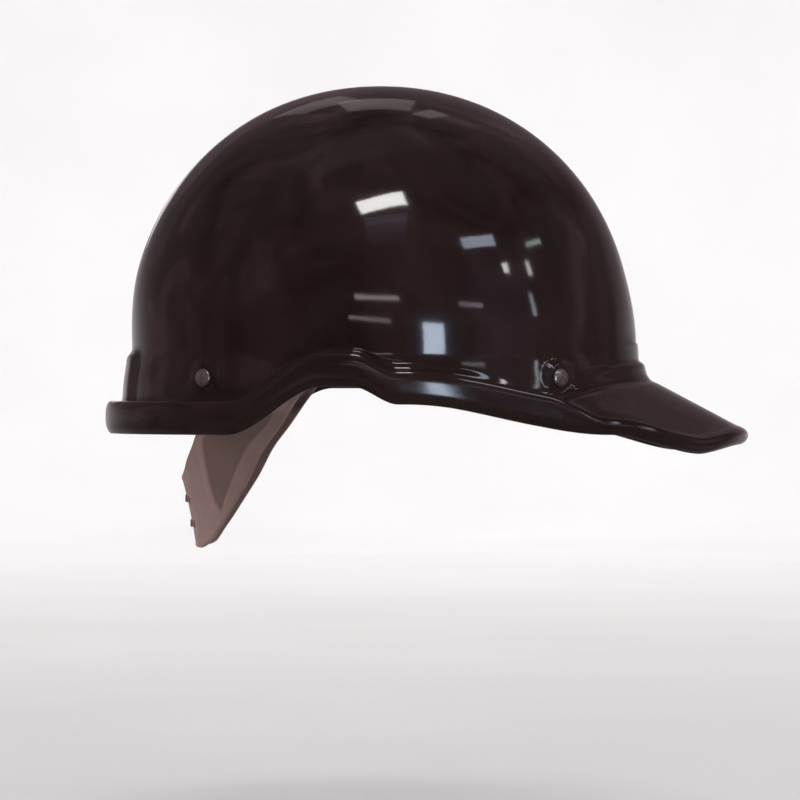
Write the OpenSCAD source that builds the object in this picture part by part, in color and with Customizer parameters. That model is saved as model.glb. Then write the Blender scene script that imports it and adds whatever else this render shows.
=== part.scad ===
// Cap-style safety helmet: glossy moulded shell with a short peak and a rain
// gutter, riveted four-point webbing cradle, moulded headband and a swinging
// nape strap. Millimetres. +X front (peak), +Y the wearer's left, +Z up.
// The origin is the centre of the head opening, level with the rear rim.

/* [Shell] */
// Height of the crown above the rear rim
shell_h = 154; // [148:1:160]
// Half length of the dome where it is widest
dome_a = 112; // [108:1:116]
// Half width of the dome where it is widest
dome_b = 99; // [96:1:102]
// Height at which the dome turns into the upright wall
dome_z0 = 40; // [38:1:44]
// Roundness of the dome, 2 is a plain ellipse
dome_n = 2.08; // [2:0.02:2.3]
// Wall thickness of the shell
wall = 2.7; // [2.4:0.1:3]
// How far the gutter and its lip stand out from the wall
lip_out = 10; // [9:0.5:12]
// Height of the gutter lip above its lower edge
lip_h = 14.3; // [12:0.1:15]
// Rise of the arch over each ear
arch_h = 20.3; // [16:0.1:21]
// Distance of the peak's tip in front of the origin
peak_tip = 163; // [152:1:168]
// Radius of the peak's outline seen from above
peak_r = 92; // [88:1:94]

/* [Cradle] */
// Height of the rivets that hold the cradle
rivet_z = 24; // [23:0.5:25]
// Direction of the front rivets from straight ahead
rivet_az = 45; // [43:1:47]
// Rivet shank radius
rivet_r = 2; // [1.8:0.05:2.2]
// Width of the crown webbing
web_w = 19; // [16:0.5:20]
// Thickness of the crown webbing
web_t = 1.4; // [1:0.1:1.5]
// Height of the lower crown strap at its middle
crown_z = 117; // [108:1:120]

/* [Headband] */
// Half length of the headband's outer face
band_a = 100; // [98:0.5:101]
// Half width of the headband's outer face
band_b = 80; // [78:0.5:81]
// Headband thickness
band_t = 2; // [1.6:0.1:2.4]
// Lower edge of the headband
band_lo = 24; // [23:0.5:26]
// Upper edge of the headband at the sides
band_hi = 52; // [50:1:54]
// Extra height of the headband at the brow
brow_up = 9; // [4:1:12]
// Travel of the headband up or down from the middle position
height_travel = 5; // [3:0.5:5]
// Radius of the chin strap eyelets
eye_r = 3; // [2.5:0.1:3.2]

/* [Nape strap] */
// Pivot of the nape strap, distance behind the origin
pivot_x = 33; // [31:1:35]
// Pivot height
pivot_z = 33; // [32:0.5:34]
// Thickness of the moulded nape strap
nape_t = 2; // [1.8:0.1:2.2]

/* [Hidden] */
shell_col = [0.11, 0.07, 0.07];
nylon_col = [0.86, 0.83, 0.74];
ivory_col = [0.82, 0.78, 0.70];
tan_col = [0.60, 0.52, 0.49];
web_col = [0.80, 0.78, 0.72];
steel_col = [0.55, 0.55, 0.56];

// ---- small helpers ----
function clamp01(t) = min(1, max(0, t));
function S(t) = let (u = clamp01(t)) u * u * (3 - 2 * u);
function mix(a, b, t) = a + (b - a) * t;
function smax(a, b, k) = let (h = max(k - abs(a - b), 0) / k) max(a, b) + h * h * k / 4;
function unit(v) = v / norm(v);

// ---- shell surface ----
// Plan radius of the dome at its widest level
function plan_r(th) = 1 / sqrt(pow(cos(th) / dome_a, 2) + pow(sin(th) / dome_b, 2));
// The base sits a little forward of the crown
function shift(th, z) = cos(th) * 1.5 * S((75 - z) / 40);
function flare(z) = 1.8 * S((36 - z) / 18);
// Low key boss at the rear of the wall, and a faint swelling over the peak
function boss(th, z) = let (y = abs(plan_r(th) * sin(th)))
    (cos(th) < 0 ? 2.3 * S((34 - y) / 10) * S((37 - z) / 4)
                 : 1.0 * S((46 - y) / 32) * S((48 - z) / 14));
function outer_r(th, z) = z >= dome_z0
    ? plan_r(th) * pow(max(0, 1 - pow((z - dome_z0) / (shell_h - dome_z0), dome_n)), 1 / dome_n)
        + shift(th, z)
    : plan_r(th) + shift(th, z) + flare(z) + boss(th, z);
function inner_r(th, z) = z >= dome_z0
    ? (plan_r(th) - wall) * pow(max(0, 1 - pow((z - dome_z0) / (shell_h - wall - dome_z0), dome_n)), 1 / dome_n)
        + shift(th, z)
    : plan_r(th) - wall + shift(th, z) + flare(z);
// Lower edge of the rim: level behind, arched over the ears, drooping at the peak
function edge_z(x) = arch_h * S((x + 66) / 42) - (arch_h * 0.37) * S((x + 12) / 20)
    - (arch_h * 0.63) * S((x - 12) / 87)
    - 8.5 * S((x - 99) / 43) + 3.6 * S((x - 138) / 24);
function lip_height(x) = lip_h - (lip_h - 7.1) * S((x - 70) / 30);
function wall_base_r(th) = plan_r(th) + shift(th, 20) + flare(10);
function peak_circle(th) = let (xc = peak_tip - peak_r)
    xc * cos(th) + sqrt(peak_r * peak_r - xc * xc * sin(th) * sin(th));
function edge_r(th) = smax(wall_base_r(th) + lip_out, peak_circle(th), 20);
// Level where the wall meets the gutter or the peak
function junction_z(th) = let (xw = wall_base_r(th) * cos(th), yw = wall_base_r(th) * sin(th),
        xe = edge_r(th) * cos(th), q = S((xw - 52) / 48))
    mix(edge_z(min(xe, 92)) + 10.9, 22.4 - 0.0007 * yw * yw, q);

// One column of the shell, from just off the crown outside to just off it inside
function column(th) = let (
        e = edge_r(th), xe = e * cos(th),
        zb = edge_z(xe), hl = lip_height(xe), zt = zb + hl, zj = junction_z(th),
        rw = wall_base_r(th) + boss(th, zj + 5), d = e - rw,
        g = clamp01((d - 10) / 36), f = 1 + 0.9 * g,
        zf = zj + 4.2 * f, zl = zt + mix(-2.6, 1.4, g), d0 = 3.2 * f, d1 = d - 5,
        zin = zj + 4.6 * f)
    concat(
        // dome, outside
        [for (k = [1 : 13]) let (t = 90 - 90 * k / 13,
                z = dome_z0 + (shell_h - dome_z0) * pow(sin(t), 2 / dome_n))
            [outer_r(th, z), z]],
        // upright wall, outside
        [for (u = [0.2, 0.3, 0.4, 0.6, 0.8]) let (z = mix(dome_z0, zf, u)) [outer_r(th, z), z]],
        // fillet into the gutter
        [[rw + 0.35 * f, zf], [rw + 1.1 * f, zj + 1.8 * f], [rw + 2.1 * f, zj + 0.5 * f]],
        // gutter floor or top of the peak
        [for (s = [0, 0.33, 0.67, 1]) [rw + mix(d0, d1, s), mix(zj, zl, s)]],
        // lip
        [[rw + d - 3.8, zt + mix(-0.7, 1.0, g)], [rw + d - 2.6, zt + mix(0, 0.4, g)],
         [rw + d - 1.3, zt - mix(0.6, 0.4, g)], [rw + d - 0.35, zt - mix(2.8, 1.6, g)],
         [rw + d, zt - hl * 0.46], [rw + d - mix(0.3, 0.8, g), zb + hl * 0.25],
         [rw + d - mix(1.2, 2.1, g), zb + hl * 0.09], [rw + d - mix(2.3, 3.7, g), zb],
         [rw + d - mix(3.3, 4.7, g), zb + 0.3], [rw + d - mix(3.8, 5.3, g), zb + 1.4],
         [rw + d - mix(4.2, 5.7, g), zl - 4.2], [rw + d - mix(5.2, 6.4, g), zl - wall]],
        // underside of the gutter floor or of the peak
        [for (s = [0.6, 0.25]) [rw + mix(d0, d1, s), mix(zj, zl, s) - wall]],
        [[rw - 0.5, zj - wall + 0.4], [rw - 2.0, zj - 1.0], [rw - wall + 0.1, zj + 1.8]],
        // upright wall, inside
        [for (u = [0, 0.3, 0.6, 0.85]) let (z = mix(zin, dome_z0, u)) [inner_r(th, z), z]],
        // dome, inside
        [for (k = [0 : 9]) let (t = 90 * k / 10,
                z = dome_z0 + (shell_h - wall - dome_z0) * pow(sin(t), 2 / dome_n))
            [inner_r(th, z), z]]);

cols = 64;
shell_cols = [for (j = [0 : cols - 1]) column(360 * j / cols)];
rows = len(shell_cols[0]);

module shell_body() {
    pts = concat([for (j = [0 : cols - 1]) for (p = shell_cols[j])
            [p[0] * cos(360 * j / cols), p[0] * sin(360 * j / cols), p[1]]],
        [[0, 0, shell_h], [0, 0, shell_h - wall]]);
    top = cols * rows;
    faces = concat(
        [for (j = [0 : cols - 1]) let (n = (j + 1) % cols) [top, n * rows, j * rows]],
        [for (j = [0 : cols - 1]) let (n = (j + 1) % cols)
            [top + 1, j * rows + rows - 1, n * rows + rows - 1]],
        [for (j = [0 : cols - 1]) for (i = [0 : rows - 2]) let (n = (j + 1) % cols)
            [j * rows + i, n * rows + i, n * rows + i + 1]],
        [for (j = [0 : cols - 1]) for (i = [0 : rows - 2]) let (n = (j + 1) % cols)
            [j * rows + i, n * rows + i + 1, j * rows + i + 1]]);
    polyhedron(points = pts, faces = faces);
}

// ---- places of the four anchors ----
anchor_az = [rivet_az, -rivet_az, 180 - rivet_az, rivet_az - 180];
// Direction of the wall's outward normal, seen from above
function face_dir(th) = atan2(sin(th) / (dome_b * dome_b), cos(th) / (dome_a * dome_a));
function rivet_at(th) = let (r = outer_r(th, rivet_z)) [r * cos(th), r * sin(th), 0];
// Places children at an anchor: local +X out through the wall, local Z from the rim plane
module at_anchor(i) {
    th = anchor_az[i];
    translate(rivet_at(th)) rotate([0, 0, face_dir(th)]) children();
}
// Distance from the wall to the headband's outer face along the local axis
band_cx = 1;
function band_gap(i) = let (th = anchor_az[i], p = rivet_at(th), b = face_dir(th),
        nx = cos(b), ny = sin(b), px = p[0] - band_cx, py = p[1],
        qa = pow(nx / band_a, 2) + pow(ny / band_b, 2),
        qb = -2 * (px * nx / pow(band_a, 2) + py * ny / pow(band_b, 2)),
        qc = pow(px / band_a, 2) + pow(py / band_b, 2) - 1)
    (-qb - sqrt(qb * qb - 4 * qa * qc)) / (2 * qa);

module x_cyl(r, x0, x1, fn = 48) { translate([x0, 0, 0]) rotate([0, 90, 0]) cylinder(r = r, h = x1 - x0, $fn = fn); }
module box3(x0, x1, y0, y1, z0, z1) { translate([x0, y0, z0]) cube([x1 - x0, y1 - y0, z1 - z0]); }
// A bar with rounded corners seen along X
module x_plate(x0, x1, w, z0, z1, r) {
    translate([x0, 0, 0]) rotate([90, 0, 90]) linear_extrude(x1 - x0) plate_2d(w, z0, z1, r);
}
module plate_2d(w, z0, z1, r) {
    union() {
        translate([-w / 2 + r, z0]) square([w - 2 * r, z1 - z0]);
        translate([-w / 2, z0 + r]) square([w, z1 - z0 - 2 * r]);
        for (sy = [-1, 1]) for (z = [z0 + r, z1 - r])
            translate([sy * (w / 2 - r), z]) circle(r = r, $fn = 32);
    }
}

seat = 0.6;        // rivet seat, proud of the wall
lug_back = -5.6;   // outer face of an anchor's base plate
lug_t = 1.9;
hang_x0 = -13.4;   // inner face of a hanger
hang_x1 = -11.4;   // outer face of a hanger
button_z = 37;

module shell() color(shell_col) difference() {
    union() {
        shell_body();
        for (i = [0 : 3]) at_anchor(i) translate([0, 0, rivet_z]) {
            x_cyl(5.2, -1.8, seat);
            x_cyl(6.2, -wall - 1.2, -1);
        }
    }
    for (i = [0 : 3]) at_anchor(i) translate([0, 0, rivet_z]) {
        x_cyl(rivet_r + 0.05, -9, 6);
        // flat spot face under each rivet head
        x_cyl(5.2, seat, 6);
    }
}

// Domed rivet with its formed end inside
module rivet() rotate([0, 90, 0]) rotate_extrude($fn = 48) polygon(concat(
    [[0, -9.65], [rivet_r * 1.5, -9.65], [rivet_r * 1.75, -9.15], [rivet_r * 1.75, -8.38],
     [rivet_r, -8.38], [rivet_r, seat + 0.03], [4, seat + 0.03]],
    [for (t = [10 : 16 : 90]) [4 * cos(t), seat + 0.3 + 1.4 * sin(t)]],
    [[0, seat + 1.7]]));
module shell_rivets() color(steel_col) for (i = [0 : 3]) at_anchor(i) translate([0, 0, rivet_z]) rivet();
module rivet_washers() color(steel_col) for (i = [0 : 3]) at_anchor(i) translate([0, 0, rivet_z])
    difference() { x_cyl(5, -8.35, -7.55); x_cyl(rivet_r + 0.1, -9, -7); }

// Moulded anchor: base plate under the rivet and two cheeks that take the hanger
module anchor(i) color(nylon_col) at_anchor(i) difference() {
    union() {
        x_plate(lug_back - lug_t, lug_back, 25, 15.5, 47, 3);
        translate([0, 0, rivet_z]) x_cyl(5.6, lug_back - 0.5, -wall - 1.35);
        for (s = [-1, 1]) {
            box3(hang_x0, lug_back - 1, min(s * 10.3, s * 12.5), max(s * 10.3, s * 12.5), 27, 46);
            // gusset under each cheek
            translate([0, s * 11.4 + 1.1, 0]) rotate([90, 0, 0]) linear_extrude(2.2)
                polygon([[hang_x0 + 1, 27.2], [lug_back - 1, 27.2], [lug_back - 1, 23.5]]);
        }
    }
    translate([0, 0, rivet_z]) x_cyl(rivet_r + 0.1, -12, 2);
    for (z = [31, 42]) translate([-12.4, 0, z]) rotate([90, 0, 0]) cylinder(r = 1.35, h = 40, center = true, $fn = 32);
    // lightening slot
    x_plate(-9, -4, 8, 31.5, 43, 2);
}

// Hanger: snaps between the anchor's cheeks, holds the webbing above and the headband below
module hanger(i) color(ivory_col) at_anchor(i) difference() {
    union() {
        x_plate(hang_x0, hang_x1, 19.6, 26.5, 54, 2.5);
        x_plate(hang_x0, hang_x1, 27, 49, 63, 3);
        for (z = [31, 42]) translate([-12.4, 0, z]) rotate([90, 0, 0]) cylinder(r = 1.25, h = 24.4, center = true, $fn = 32);
    }
    // slot for the webbing, the bar above it carries the loop
    x_plate(hang_x0 - 1, hang_x1 + 1, 21, 54.2, 58.5, 1);
    // slot for the headband's height button
    x_plate(hang_x0 - 1, hang_x1 + 1, 5.2, button_z - height_travel - 2.65, button_z + height_travel + 2.65, 2.59);
}

// ---- strips swept along a list of [point, across, out] frames ----
// A flat band: w wide along "across", from t0 to t1 along "out"
module strip(fr, w, t0, t1) {
    n = len(fr);
    pts = [for (f = fr) for (c = [[-1, t0], [1, t0], [1, t1], [-1, t1]])
        f[0] + f[1] * c[0] * w / 2 + f[2] * c[1]];
    faces = concat([[0, 1, 2], [0, 2, 3]],
        [for (k = [0 : n - 2]) for (m = [0 : 3]) let (a = 4 * k + m, b = 4 * k + (m + 1) % 4) [a, a + 4, b + 4]],
        [for (k = [0 : n - 2]) for (m = [0 : 3]) let (a = 4 * k + m, b = 4 * k + (m + 1) % 4) [a, b + 4, b]],
        [[4 * n - 4, 4 * n - 2, 4 * n - 3], [4 * n - 4, 4 * n - 1, 4 * n - 2]]);
    polyhedron(points = pts, faces = faces);
}

// ---- crown straps ----
// The webbing comes down inside the hanger, loops under its bar and is sewn back to itself
web_x_in = hang_x0 - 0.2 - web_t / 2;
web_x_out = hang_x1 + 0.2 + web_t / 2;
web_z0 = 61;
function local_pt(i, x, z) = let (th = anchor_az[i], p = rivet_at(th), b = face_dir(th))
    [p[0] + x * cos(b), p[1] + x * sin(b), z];
// Frame k of 0..16 on the way from the hanger to the crown, lifted by off
function rise(i, zc, k, off) = let (th = anchor_az[i], b = face_dir(th),
        st = local_pt(i, web_x_in, 0), r0 = norm([st[0], st[1]]), az = atan2(st[1], st[0]),
        t = 90 * k / 16, r = r0 * pow(cos(t), 0.9), z = web_z0 + (zc - web_z0) * sin(t),
        nn = k == 0 ? [1, 0] : unit([(zc - web_z0) * cos(t), 0.9 * r0 * pow(max(cos(t), 0.05), -0.1) * sin(t)]),
        bb = mix(b, az, S(k / 5)))
    [[r * cos(az) + off * nn[0] * cos(bb), r * sin(az) + off * nn[0] * sin(bb), z + off * nn[1]],
     [-sin(bb), cos(bb), 0], [nn[0] * cos(bb), nn[0] * sin(bb), nn[1]]];
function half_strap(i, zc) = let (th = anchor_az[i], b = face_dir(th),
        across = [-sin(b), cos(b), 0], rad = [cos(b), sin(b), 0],
        xm = (web_x_in + web_x_out) / 2, rr = (web_x_out - web_x_in) / 2)
    concat(
        [for (k = [3, 2.5, 2]) let (f = rise(i, zc, k, web_t + 0.12)) [f[0], -f[1], -f[2]]],
        [for (q = [[-12.9, 67.6, 40], [-10.9, 64.6, 25], [web_x_out, 62, 0], [web_x_out, 59.6, 0]])
            [local_pt(i, q[0], q[1]), -across, [-rad[0] * cos(q[2]), -rad[1] * cos(q[2]), -sin(q[2])]]],
        [for (t = [-25 : -26 : -155]) [local_pt(i, xm + rr * cos(t), 58.7 + rr * sin(t)), -across,
            [-rad[0] * cos(t), -rad[1] * cos(t), -sin(t)]]],
        [[local_pt(i, web_x_in, 59.4), -across, rad]],
        [for (k = [0 : 15]) let (f = rise(i, zc, k, 0)) [f[0], -f[1], f[2]]]);
// Whole strap: out of one anchor, over the crown and down to the opposite one
function whole_strap(i, j, zc) = let (a = half_strap(i, zc), b = half_strap(j, zc), n = len(b), az = anchor_az[i])
    concat(a, [[[0, 0, zc], [sin(az), -cos(az), 0], [0, 0, 1]]],
        [for (k = [1 : n]) let (f = b[n - k]) [f[0], -f[1], f[2]]]);
module crown_strap_lower() color(web_col) strip(whole_strap(0, 3, crown_z), web_w, -web_t / 2, web_t / 2);
module crown_strap_upper() color(web_col) strip(whole_strap(1, 2, crown_z + web_t + 0.45), web_w, -web_t / 2, web_t / 2);
// Box of thread that joins the two straps at the crown
module crown_stitching() color([0.25, 0.24, 0.24]) {
    top = crown_z + 1.5 * web_t + 0.45;
    for (q = [0 : 3]) rotate([0, 0, 45 + 90 * q]) for (y = [-6 : 2 : 6])
        translate([6.5, y - 0.7, top + 0.02]) cube([0.6, 1.4, 0.35]);
}

// ---- headband ----
function oval(a, b, n = 96) = [for (k = [0 : n - 1]) [band_cx + a * cos(360 * k / n), b * sin(360 * k / n)]];
function band_top(x) = band_hi + brow_up * S((x - 25) / 60) - 5 * S((-x - 45) / 40);
module oval_ring(a0, b0, a1, b1, z0, z1) translate([0, 0, z0]) linear_extrude(z1 - z0) difference() {
    polygon(oval(a1, b1));
    polygon(oval(a0, b0));
}
// Side profile of the headband, used to trim its edges
module band_side(x0, x1, lo, up) translate([0, 120, 0]) rotate([90, 0, 0]) linear_extrude(240)
    polygon(concat([for (k = [0 : 24]) let (x = mix(x0, x1, k / 24)) [x, band_top(x) + up]],
        [[x1, lo], [x0, lo]]));
module y_cyl(x, z, r, y0, y1, fn = 48) { translate([x, y1, z]) rotate([90, 0, 0]) cylinder(r = r, h = y1 - y0, $fn = fn); }
boss_y = 78.6;
eye_x = 24;
eye_z = 40;
module headband() color(tan_col) difference() {
    union() {
        intersection() {
            oval_ring(band_a - band_t, band_b - band_t, band_a, band_b, band_lo, 70);
            band_side(-105, 105, band_lo - 1, 0);
        }
        for (s = [-1, 1]) {
            // flat bosses for the nape pivots
            difference() {
                y_cyl(-pivot_x, pivot_z, 7.5, s > 0 ? 70 : -boss_y, s > 0 ? boss_y : -70);
                translate([0, 0, 20]) linear_extrude(40) polygon(oval(band_a - band_t, band_b - band_t));
            }
            // chin strap eyelets
            y_cyl(eye_x, eye_z, eye_r + 3.5, s > 0 ? 74.6 : -79.6, s > 0 ? 79.6 : -74.6);
        }
    }
    for (s = [-1, 1]) {
        y_cyl(-pivot_x, pivot_z, 3.03, s > 0 ? 60 : -90, s > 0 ? 90 : -60);
        y_cyl(eye_x, eye_z, eye_r, s > 0 ? 60 : -90, s > 0 ? 90 : -60);
    }
    // holes for the height buttons and the sweatband snaps
    for (i = [0 : 3]) at_anchor(i) translate([0, 0, button_z]) x_cyl(2.53, -band_gap(i) - 8, -band_gap(i) + 4);
    for (a = [-28, 28]) snap_at(a) x_cyl(1.65, -6, 6, 32);
}
// Buttons that ride in the hangers' slots and set the height of the headband
module height_buttons() color(nylon_col) for (i = [0 : 3]) at_anchor(i) translate([0, 0, button_z]) {
    g = band_gap(i);
    rotate([0, 90, 0]) rotate_extrude($fn = 40) polygon([[0, -g - 0.6], [2.5, -g - 0.6], [2.5, -11.1],
        [3.8, -11.1], [3.8, -10.4], [3.1, -9.8], [0, -9.8]]);
}
// Place on the front of the headband, local +X outwards
function oval_pt(a, b, th) = let (r = 1 / sqrt(pow(cos(th) / a, 2) + pow(sin(th) / b, 2))) [band_cx + r * cos(th), r * sin(th)];
module snap_at(az) {
    p = oval_pt(band_a, band_b, az);
    translate([p[0], p[1], 44]) rotate([0, 0, atan2(sin(az) / (band_b * band_b), cos(az) / (band_a * band_a))]) children();
}
module sweatband_snaps() color(steel_col) for (a = [-28, 28]) snap_at(a)
    rotate([0, 90, 0]) rotate_extrude($fn = 40) polygon([[0, -2.2], [1.6, -2.2], [1.6, 0.25], [4, 0.25], [4, 0.9], [3.2, 1.5], [0, 1.5]]);
// Padded sweatband inside the brow
module sweatband() color([0.16, 0.15, 0.15]) intersection() {
    oval_ring(band_a - band_t - 5, band_b - band_t - 5, band_a - band_t - 0.35, band_b - band_t - 0.35, band_lo + 1.5, 66);
    band_side(-105, 105, band_lo, -2.5);
    translate([0, 0, 0]) linear_extrude(80) polygon([[6, 0], [58, -90], [130, -90], [130, 90], [58, 90]]);
}

// ---- nape strap ----
// Oval that the strap lies on: narrower as it drops under the back of the head
function ns_a(z) = let (u = max(0, 24 - z)) 102.6 - 0.43 * u + 0.0019 * u * u;
function ns_b(z) = let (u = max(0, 22 - z)) 84.9 - 0.36 * u + 0.002 * u * u;
function ns_n(ph, z) = let (a = ns_a(z), b = ns_b(z), u = max(0, 24 - z), v = max(0, 22 - z),
        da = u > 0 ? 0.43 - 0.0038 * u : 0, db = v > 0 ? 0.36 - 0.004 * v : 0)
    unit([-cos(ph) / a, sin(ph) / b, -pow(cos(ph), 2) * da / a - pow(sin(ph), 2) * db / b]);
function ns_x(ph, z) = band_cx - ns_a(z) * cos(ph);
// Offset from the oval: the layer at the rear overlap, and a straight run into the pivot
function ns_off(ph, z, lay) = lay * (nape_t / 2 + 0.1) * (1 - S((abs(ph) - 17) / 12))
    + max(0, 80.3 - ns_b(z) * sin(ph)) * S((ns_x(ph, z) + 56) / 15) * S((z - 9) / 12);
function ns_pt(ph, z, off) = [ns_x(ph, z), ns_b(z) * sin(ph), z] + off * ns_n(ph, z);
// Smooth curve through rows of [angle and height of the upper edge, angle and height of the lower edge]
function cr(p0, p1, p2, p3, t) = 0.5 * (2 * p1 + (p2 - p0) * t + (2 * p0 - 5 * p1 + 4 * p2 - p3) * t * t + (3 * p1 - p0 - 3 * p2 + p3) * t * t * t);
function smooth_rows(c, m) = let (n = len(c)) concat([for (i = [0 : n - 2]) for (k = [0 : m - 1])
    cr(c[max(0, i - 1)], c[i], c[i + 1], c[min(n - 1, i + 2)], k / m)], [c[n - 1]]);
edge_rows = [[-18, -25, -18, -44], [-16.6, -21.2, -16.6, -47.8], [-13, -19.2, -13, -49.8], [-6, -19, -6, -50.1], [1, -19, 1, -50.2],
    [10, -17.3, 9.5, -50.2], [16, -14.5, 16, -49.9], [20.5, -10.5, 21.5, -48.2], [26, -5, 28, -43.8], [30.5, 0.2, 36.6, -35.7],
    [35.5, 5.2, 47.8, -21.5], [42, 10.4, 55.8, -7.4], [49.5, 14.8, 62.2, 2.5], [57, 20.2, 68.4, 13.9], [62.5, 27, 72.5, 22], [66, 35, 74.5, 28]];
// Curved plate between the two edges, from v0 to v1 across and t0 to t1 thick
module plate(lay, v0, v1, t0, t1, first = 0, m = 2, across = 6) {
    r = smooth_rows([for (i = [first : len(edge_rows) - 1 - first / 5]) edge_rows[i]], m);
    n = len(r);
    k = across + 1;
    pts = [for (q = r) for (j = [0 : across]) let (v = mix(v0, v1, j / across),
            ph = mix(q[0], q[2], v), z = mix(q[1], q[3], v), o = ns_off(ph, z, lay))
        each [ns_pt(ph, z, o + t0), ns_pt(ph, z, o + t1)]];
    faces = concat(
        [for (i = [0 : n - 2]) for (j = [0 : across - 1]) for (l = [0, 1]) for (h = [0, 1])
            let (a = 2 * (i * k + j) + l, b = a + 2 * k, c = b + 2, d = a + 2)
            l == 1 ? (h == 0 ? [a, d, c] : [a, c, b]) : (h == 0 ? [a, b, c] : [a, c, d])],
        [for (i = [0 : n - 2]) for (j = [0, across]) for (h = [0, 1])
            let (a = 2 * (i * k + j), b = a + 2 * k, c = b + 1, d = a + 1)
            j == 0 ? (h == 0 ? [a, d, c] : [a, c, b]) : (h == 0 ? [a, b, c] : [a, c, d])],
        [for (j = [0 : across - 1]) for (i = [0, n - 1]) for (h = [0, 1])
            let (a = 2 * (i * k + j), b = a + 2, c = b + 1, d = a + 1)
            i == 0 ? (h == 0 ? [a, b, c] : [a, c, d]) : (h == 0 ? [a, d, c] : [a, c, b])]);
    polyhedron(points = pts, faces = faces);
}
// Outline, from the side, of the thin panel between the two arms of one half
panel_pts = [[-69.2, -32.4], [-71.6, -28.6], [-73.4, -22.4], [-75.2, -14], [-76.4, -6], [-76, -1.4], [-72.6, 3.2], [-66, 7.8],
    [-58.4, 12.8], [-52.8, 15.8], [-49.4, 16], [-46.8, 14], [-45, 9.4], [-49.2, 2.6], [-55.4, -4.2], [-59.3, -11.4],
    [-62.8, -19.6], [-66, -27.6], [-67.2, -31.6], [-68, -32.9]];
hole_y = [-14, -7, 0, 7, 14];
row_z = [-29, -40];
// One half on the left side: lay is 1 for the outer layer at the rear, -1 for the inner one
module nape_half(lay) difference() {
    union() {
        difference() {
            plate(lay, 0, 1, -nape_t / 2, nape_t / 2);
            translate([0, 110, 0]) rotate([90, 0, 0]) linear_extrude(100) polygon(panel_pts);
        }
        // thin panel, inset from the rims
        plate(lay, 0.05, 0.95, -0.45, 0.45, first = 5);
        y_cyl(-pivot_x, pivot_z, 8.5, boss_y + 0.3, boss_y + 2.5);
    }
    // flat faces either side of the eye, under the pivot's head and over the headband's boss
    y_cyl(-pivot_x, pivot_z, 7.2, boss_y + 2.5, 95);
    y_cyl(-pivot_x, pivot_z, 8.5, 60, boss_y + 0.3);
    y_cyl(-pivot_x, pivot_z, 3.06, 60, 95);
}
module nape_strap_left() color(tan_col) union() {
    nape_half(-1);
    // pegs that hold the size
    for (z = row_z) translate([0, 0, z]) x_cyl(1.8, 1 - ns_a(z) - 2.9, 1 - ns_a(z) + 1.6, 32);
}
module nape_strap_right() color(tan_col) mirror([0, 1, 0]) difference() {
    nape_half(1);
    for (y = hole_y) for (z = row_z) translate([0, y, z]) x_cyl(1.9, -100, -70, 32);
}
module nape_pivot(s) color(nylon_col) scale1(s) rotate([-90, 0, 0]) rotate_extrude($fn = 48)
    polygon([[0, 71.5], [3, 71.5], [3, boss_y + 2.8], [6.5, boss_y + 2.8], [6.5, boss_y + 3.5], [5.6, boss_y + 4.3], [0, boss_y + 4.3]]);
module scale1(s) translate([-pivot_x, 0, pivot_z]) mirror([0, s > 0 ? 0 : 1, 0]) children();
module nape_pivot_left() nape_pivot(1);
module nape_pivot_right() nape_pivot(-1);
// Soft pad behind the nape
module nape_pad() color([0.55, 0.47, 0.38])
    strip([for (ph = [-20 : 4 : 20]) let (nn = ns_n(ph, -34), t = [sin(ph), cos(ph), 0])
        [ns_pt(ph, -34, 0), unit(cross(nn, t)), nn]], 22, -6.4, -2.8);

shell();
shell_rivets();
rivet_washers();
anchor(0);  // anchor_front_left
anchor(1);  // anchor_front_right
anchor(2);  // anchor_rear_left
anchor(3);  // anchor_rear_right
hanger(0);  // hanger_front_left
hanger(1);  // hanger_front_right
hanger(2);  // hanger_rear_left
hanger(3);  // hanger_rear_right
crown_strap_lower();
crown_strap_upper();
crown_stitching();
headband();
height_buttons();
sweatband();
sweatband_snaps();
nape_strap_left();
nape_strap_right();
nape_pivot_left();
nape_pivot_right();
nape_pad();
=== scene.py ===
import bpy, bmesh, math, random
import numpy as np
from mathutils import Vector, Matrix


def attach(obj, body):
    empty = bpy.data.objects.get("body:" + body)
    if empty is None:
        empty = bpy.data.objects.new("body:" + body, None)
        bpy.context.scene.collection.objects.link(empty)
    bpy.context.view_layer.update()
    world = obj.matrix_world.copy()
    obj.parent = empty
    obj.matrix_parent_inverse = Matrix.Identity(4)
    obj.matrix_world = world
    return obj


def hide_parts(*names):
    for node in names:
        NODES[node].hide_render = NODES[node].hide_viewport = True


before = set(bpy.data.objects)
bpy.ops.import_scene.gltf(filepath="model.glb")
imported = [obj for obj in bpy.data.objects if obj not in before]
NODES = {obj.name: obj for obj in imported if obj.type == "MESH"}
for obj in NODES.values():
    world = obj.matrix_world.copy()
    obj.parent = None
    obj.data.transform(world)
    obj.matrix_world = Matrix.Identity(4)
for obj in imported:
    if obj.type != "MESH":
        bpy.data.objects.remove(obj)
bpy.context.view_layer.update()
random.seed(7)
MM = 0.001

# ------------------------------------------------------------------ camera
cam_data = bpy.data.cameras.new("camera")
cam_data.sensor_width = 36.0
CAM_DIST = 1.5
FRAME_W = 0.3562                      # metres across the picture at the helmet's middle plane
cam_data.lens = 36.0 * CAM_DIST / FRAME_W
cam_data.clip_start = 0.05
cam_data.clip_end = 30.0
camera = bpy.data.objects.new("camera", cam_data)
bpy.context.collection.objects.link(camera)
camera.location = (0.0085, -CAM_DIST, 0.0147)
camera.rotation_euler = (math.radians(90), 0, 0)
bpy.context.scene.camera = camera

# ------------------------------------------------------------------ helpers
def link(obj):
    bpy.context.collection.objects.link(obj)
    return obj


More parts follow.
